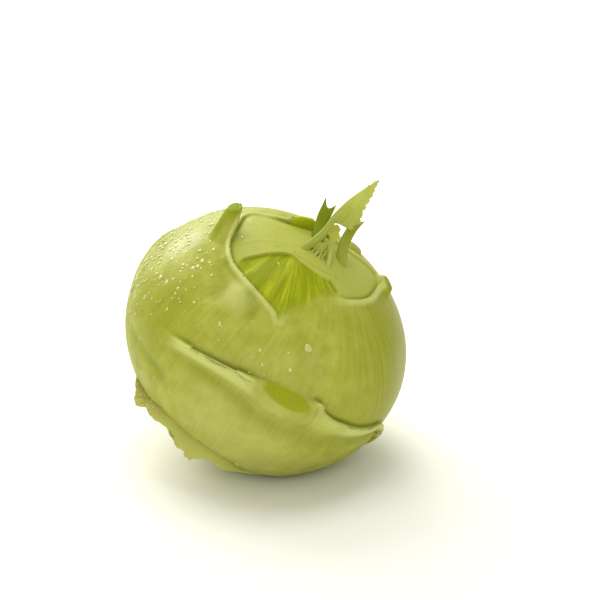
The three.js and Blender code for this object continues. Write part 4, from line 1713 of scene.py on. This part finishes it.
@dataclass(frozen=True)
class FloorFinish:
    """The studio's pale, faintly cloudy floor."""

    colour: Colour = (245, 244, 236)
    cloudy: Colour = (240, 238, 226)

    def build(self, effects: Effects) -> Material:
        """Wires the material."""
        material, bench, shader = new_material("studio_floor")
        mottle = bench.group(effects.mottle, Place=bench.place(), Patch=3.0, Speck=40.0)
        colour = bench.cover(tint(*self.colour), (mottle.outputs["Cloud"], 0.15, self.cloudy))
        bench.join(colour, shader.inputs["Base Color"])
        shader.inputs["Roughness"].default_value = 0.8
        return material


YOUNG_GREEN = LeafFinish("young_leaf_green", (146, 155, 44), (192, 195, 86), (206, 208, 118), 0.15)
STALK_GREEN = LeafFinish("stalk_green", (150, 156, 50), (136, 145, 12), (166, 170, 70), 0.05)
DARK_GREEN = LeafFinish("stalk_dark_green", (126, 140, 6), (120, 136, 0), (138, 150, 24), 0.05)
HEART_YELLOW = LeafFinish("heart_yellow", (176, 181, 84), (178, 176, 48), (196, 198, 106), 0.15)

YOUNG_LEAF = LeafForm(
    name="young_leaf_blade",
    rib=(
        (5.6, -6.0, -1.8),
        (3.4, -4.1, 2.4),
        (1.8, -2.9, 7.2),
        (0.1, -2.7, 12.3),
        (-0.7, -2.3, 15.0),
        (-1.5, -1.7, 18.0),
        (-2.6, 0.1, 23.1),
        (-3.2, 1.1, 25.4),
        (-4.2, 2.5, 28.2),
    ),
    side=(-0.4, 1.0, 0.0),
    stem_half=(1.35, 0.4),
    blade_from=0.345,
    blade_edge=(
        (-0.6, 3.4, 10.3),
        (-1.7, 4.6, 13.9),
        (-2.3, 3.8, 16.6),
        (-2.8, 3.5, 19.0),
        (-3.3, 3.3, 21.5),
        (-3.6, 3.3, 23.7),
        (-3.8, 2.8, 25.6),
        (-4.2, 3.0, 28.0),
    ),
)

HEART_LEAF = LeafForm(
    name="heart_leaf_blade",
    rib=(
        (7.9, 4.0, -1.8),
        (6.4, 3.3, 0.2),
        (4.2, 2.2, 2.0),
        (2.4, 1.2, 3.9),
        (0.8, 0.3, 5.8),
        (-0.8, -0.5, 7.7),
        (-1.8, -0.8, 9.0),
    ),
    side=(-0.5, 0.85, 0.0),
    stem_half=(0.75, 0.4),
    blade_from=0.5,
    blade_width=1.7,
    tooth=0.7,
    teeth=7.0,
    crinkle=0.35,
    rows=80,
)

STALK_BACK = StalkForm(
    name="stalk_back_stem",
    rib=(
        (-2.6, -3.2, -1.8),
        (-4.6, -4.2, 1.2),
        (-6.4, -5.0, 3.6),
        (-7.5, -5.8, 6.0),
        (-9.0, -6.3, 9.0),
    ),
    side=(0.1, 1.0, 0.0),
    width=(2.2, 2.0),
    thickness=(1.3, 1.0),
    jag=(1.6, 0.3, -0.6, 0.2, 2.4, 0.4, -0.4, 0.2),
)

STALK_RIGHT = StalkForm(
    name="stalk_right_stem",
    rib=(
        (1.2, 7.0, -1.8),
        (-0.4, 6.0, 0.4),
        (-2.6, 4.7, 2.4),
        (-4.4, 3.9, 5.2),
        (-5.9, 3.7, 8.5),
        (-6.8, 4.0, 11.0),
    ),
    side=(0.25, 1.0, 0.1),
    width=(1.9, 1.5),
    thickness=(1.5, 1.0),
    jag=(2.0, 1.2, 0.2, -0.4, -0.6, -0.2, 0.4, 1.0),
)


@dataclass
class HeartTuft:
    """The tuft of tiny stems in the heart of the crown."""

    name: str = "heart_tuft"
    stems: tuple[tuple[Point, ...], ...] = (
        ((6.9, -1.4, -0.6), (4.9, -1.6, 1.5), (3.2, -1.2, 3.4)),
        ((5.8, -3.3, -0.8), (4.6, -2.5, 1.2), (3.4, -1.9, 3.0)),
        ((4.6, 0.3, -0.8), (3.6, -0.2, 1.8), (2.4, -0.6, 3.8)),
        ((2.8, 0.9, -0.8), (2.0, 0.5, 1.6), (1.2, -0.2, 3.4)),
        ((6.4, -2.3, -0.7), (5.2, -1.2, 0.9), (4.3, -0.2, 2.2)),
        ((7.2, -0.3, -0.7), (5.6, -0.2, 0.9), (4.2, -0.6, 2.7)),
        ((6.6, 0.8, -0.7), (5.2, 0.7, 1.1), (3.8, 0.9, 2.6)),
        ((5.2, 1.6, -0.8), (4.4, 1.3, 1.0), (3.1, 0.7, 2.9)),
        ((5.0, -2.2, -0.6), (4.4, -2.9, 1.0), (3.8, -3.3, 2.3)),
    )
    half: Pair = (0.42, 0.24)
    mound_middle: Point = (4.2, -0.9, -1.2)
    mound_half: Pair = (3.0, 2.6)
    mound_height: float = 1.3

    def grow(self, crown: CrownFrame) -> Piece:
        """Makes the stems and the low mound that they grow from, as one piece."""
        parts = [self.stem(points, crown, number) for number, points in enumerate(self.stems)]
        parts.append(self.mound(crown))
        joined = bmesh.new()
        for part in parts:
            joined.from_mesh(part.data)
            mesh = part.data
            bpy.data.objects.remove(part)
            bpy.data.meshes.remove(mesh)
        bmesh.ops.scale(joined, vec=(1 / MM, 1 / MM, 1 / MM), verts=joined.verts)
        return finish_mesh(self.name, joined)

    def stem(self, points: tuple[Point, ...], crown: CrownFrame, number: int) -> Piece:
        """Makes one thin stem with a pointed end."""
        line = smooth_line(np.array(points, dtype=float), False, 16)

        def place(share: Array, turn: Array) -> Array:
            """Places the stem's surface at shares of its length and of the turn round it."""
            middle = curve_at(line, share)
            along = normalised(curve_at(line, share + 0.02) - curve_at(line, share - 0.02))
            across = normalised(np.cross(along, np.array([0.3, 1.0, 0.2])))
            normal = np.cross(across, along)
            half = mix(*self.half, share) * np.sqrt(np.maximum(1 - share**6, 0.04))
            half = half * (1 + 0.12 * np.sin(share * 9 + number))
            angle = 2 * np.pi * turn
            offset = across * (half * np.cos(angle))[:, None]
            return crown.out(middle + offset + normal * (half * np.sin(angle))[:, None])

        return Tube(f"{self.name}_{number}", 16, 14).roll(place)

    def mound(self, crown: CrownFrame) -> Piece:
        """Makes the low, folded mound."""

        def place(share: Array, turn: Array) -> Array:
            """Places the mound's surface at shares of its height and of the turn round it."""
            angle = 2 * np.pi * turn
            wide, deep = self.mound_half
            fold = 1 + 0.08 * np.sin(angle * 5)
            ring = np.sqrt(np.maximum(1 - share**2, 0.002)) * fold
            middle = np.array(self.mound_middle)
            offset = np.column_stack(
                [wide * ring * np.cos(angle), deep * ring * np.sin(angle), self.mound_height * share]
            )
            return crown.out(middle + offset)

        return Tube(f"{self.name}_mound", 12, 40).roll(place)


@dataclass
class Crown:
    """The young leaves and stalks in the crown, with their finishes."""

    effects: Effects
    frame: CrownFrame

    def build(self) -> None:
        """Makes and dresses every piece of the crown."""
        finishes = (YOUNG_GREEN, STALK_GREEN, DARK_GREEN, HEART_YELLOW)
        leaf, stalk, dark, heart = (finish.build(self.effects) for finish in finishes)
        for form, material, slot, node in (
            (YOUNG_LEAF, leaf, "leaf", "young_leaf"),
            (STALK_BACK, dark, "stalk", "stalk_back"),
            (STALK_RIGHT, stalk, "stalk", "stalk_right"),
            (HEART_LEAF, heart, "heart", "heart_leaf"),
            (HeartTuft(), heart, "heart", "heart_buds"),
        ):
            piece = form.grow(self.frame)
            piece.data.materials.append(material)
            ride_root(piece, slot, node)


@dataclass(frozen=True)
class Shower:
    """A group of drops round a place: its middle and spread in degrees, their number and size."""

    middle: Pair
    spread: Pair
    count: int
    size: float = 1.0


@dataclass
class WaterDrops:
    """Water drops on the skin, most of them at the upper left."""

    skin: Skin
    name: str = "water_drops"
    seed: int = 7
    showers: tuple[Shower, ...] = (
        Shower((-76.0, 32.0), (22.0, 14.0), 330),
        Shower((-66.0, 4.0), (10.0, 9.0), 110),
        Shower((-28.0, 36.0), (22.0, 12.0), 80, 0.55),
    )
    highest: float = 52.0
    lowest: float = -20.0
    smallest: float = 0.16
    largest: float = 0.75
    flatness: float = 0.5
    longer: float = 0.5
    sag: float = 0.25
    single: tuple[Point, ...] = (
        (19.6, 41.6, 1.3),
        (15.5, 30.3, 0.6),
        (4.2, 26.7, 0.5),
        (0.2, 31.6, 0.5),
        (-66.0, 57.0, 0.6),
        (-30.0, 66.0, 0.35),
        (20.0, -34.0, 0.9),
    )

    def scatter(self) -> Array:
        """Draws the drops' longitudes, latitudes and radii, one drop a row."""
        dice = np.random.default_rng(self.seed)
        drawn = []
        for shower in self.showers:
            places = dice.normal(shower.middle, shower.spread, (shower.count, 2))
            size = mix(self.smallest, self.largest, dice.random(shower.count) ** 3)
            drawn.append(np.column_stack([places, size * shower.size]))
        every = np.vstack(drawn)
        every = every[(every[:, 1] < self.highest) & (every[:, 1] > self.lowest)]
        return np.vstack([every, np.array(self.single)])

    def grow(self) -> Piece:
        """Makes all the drops as one piece.

        Returns:
            The drops' object.
        """
        drops = self.scatter()
        dice = np.random.default_rng(self.seed + 1)
        units = self.skin.bulb.unit_at(drops[:, 0], drops[:, 1])
        places = self.skin.shape(units).place
        normals = self.skin.bulb.normals(units)
        bm = bmesh.new()
        for middle, normal, size in zip(places, normals, drops[:, 2]):
            down = normal * normal[2] - np.array([0.0, 0.0, 1.0])
            down = down / max(np.linalg.norm(down), 1e-6)
            across = np.cross(normal, down)
            longer = 1.0 + self.longer * dice.random()
            for vertex in bmesh.ops.create_icosphere(bm, subdivisions=2, radius=1.0)["verts"]:
                x, y, z = vertex.co
                sag = 1.0 + self.sag * x
                offset = down * x * longer + across * y * sag + normal * z * self.flatness * sag
                vertex.co = (middle + offset * size).tolist()
        bmesh.ops.recalc_face_normals(bm, faces=bm.faces)
        return finish_mesh(self.name, bm)


@dataclass(frozen=True)
class Lamp:
    """A square lamp: its place and side in metres, its power in watts and its linear colour."""

    name: str
    place: Point
    side: float
    power: float
    colour: Point


@dataclass
class Studio:
    """The floor, the lights and the camera."""

    bulb: BulbFrame
    effects: Effects
    lamps: tuple[Lamp, ...] = (
        Lamp("window", (-0.52, 1.0, 0.85), 1.2, 15.5, (1.0, 0.99, 0.95)),
        Lamp("top", (-0.1, 0.1, 1.5), 0.9, 8.0, (1.0, 0.99, 0.96)),
        Lamp("fill", (0.1, -1.6, 0.9), 1.0, 5.5, (1.0, 1.0, 1.0)),
    )
    room_colour: tuple[float, ...] = (1.0, 1.0, 0.98, 1.0)
    room_light: float = 0.66
    floor_half: float = 4000.0
    elevation: float = 18.0
    lens: float = 100.0
    sensor: float = 36.0
    image: int = 600
    pixel: float = 0.3228
    bulb_pixel: Pair = (267.25, 338.0)

    def build(self) -> None:
        """Sets up everything round the object."""
        self.lay_floor()
        self.hang_lights()
        self.place_camera()

    def lay_floor(self) -> None:
        """Lays the wide pale floor."""
        bm = bmesh.new()
        bmesh.ops.create_grid(bm, x_segments=8, y_segments=8, size=self.floor_half)
        floor = finish_mesh("floor", bm)
        floor.data.materials.append(FloorFinish().build(self.effects))

    def hang_lights(self) -> None:
        """Hangs a large soft key at the upper left and behind, a fill in front, and a bright room."""
        for lamp in self.lamps:
            self.hang(lamp)
        world = bpy.data.worlds.new("room")
        world.use_nodes = True
        sky = world.node_tree.nodes["Background"]
        sky.inputs["Color"].default_value = self.room_colour
        sky.inputs["Strength"].default_value = self.room_light
        bpy.context.scene.world = world
        bpy.context.scene.view_settings.view_transform = "Standard"

    def hang(self, lamp: Lamp) -> None:
        """Hangs one lamp that looks at the bulb."""
        data = bpy.data.lights.new(lamp.name, "AREA")
        data.shape, data.size, data.energy, data.color = "SQUARE", lamp.side, lamp.power, lamp.colour
        hung = bpy.data.objects.new(lamp.name, data)
        hung.location = lamp.place
        aim = Vector((self.bulb.centre * MM).tolist()) - Vector(lamp.place)
        hung.rotation_euler = aim.to_track_quat("-Z", "Y").to_euler()
        bpy.context.scene.collection.objects.link(hung)

    def place_camera(self) -> None:
        """Places the camera at the photograph's angle, so that the bulb lies where it does there."""
        elevation = math.radians(self.elevation)
        up = np.array([0.0, math.sin(elevation), math.cos(elevation)])
        forward = np.array([0.0, math.cos(elevation), -math.sin(elevation)])
        middle = self.image / 2
        shift = np.array([middle - self.bulb_pixel[0], 0.0, 0.0])
        target = self.bulb.centre + (shift + up * (self.bulb_pixel[1] - middle)) * self.pixel
        distance = self.lens / self.sensor * self.image * self.pixel
        data = bpy.data.cameras.new("camera")
        data.lens = self.lens
        data.sensor_width = self.sensor
        data.clip_start = 0.01
        data.clip_end = 50.0
        camera = bpy.data.objects.new("camera", data)
        camera.location = ((target - forward * distance) * MM).tolist()
        camera.rotation_euler = (math.pi / 2 - elevation, 0.0, 0.0)
        bpy.context.scene.collection.objects.link(camera)
        bpy.context.scene.camera = camera


def main() -> None:
    """Builds the dressed kohlrabi and its studio."""
    logging.basicConfig(level=logging.INFO, format="%(message)s")
    effects = Effects()
    skin = Skin()
    Studio(skin.bulb, effects).build()
    bulb = BulbSkin(skin).grow()
    bulb.data.materials.append(SkinFinish().build(effects))
    ride_root(bulb, "skin", "bulb")
    Crown(effects, CrownFrame(skin.bulb)).build()
    drops = WaterDrops(skin).grow()
    drops.data.materials.append(WaterFinish().build(effects))
    ride_root(drops, "skin")


if __name__ == "__main__":
    main()
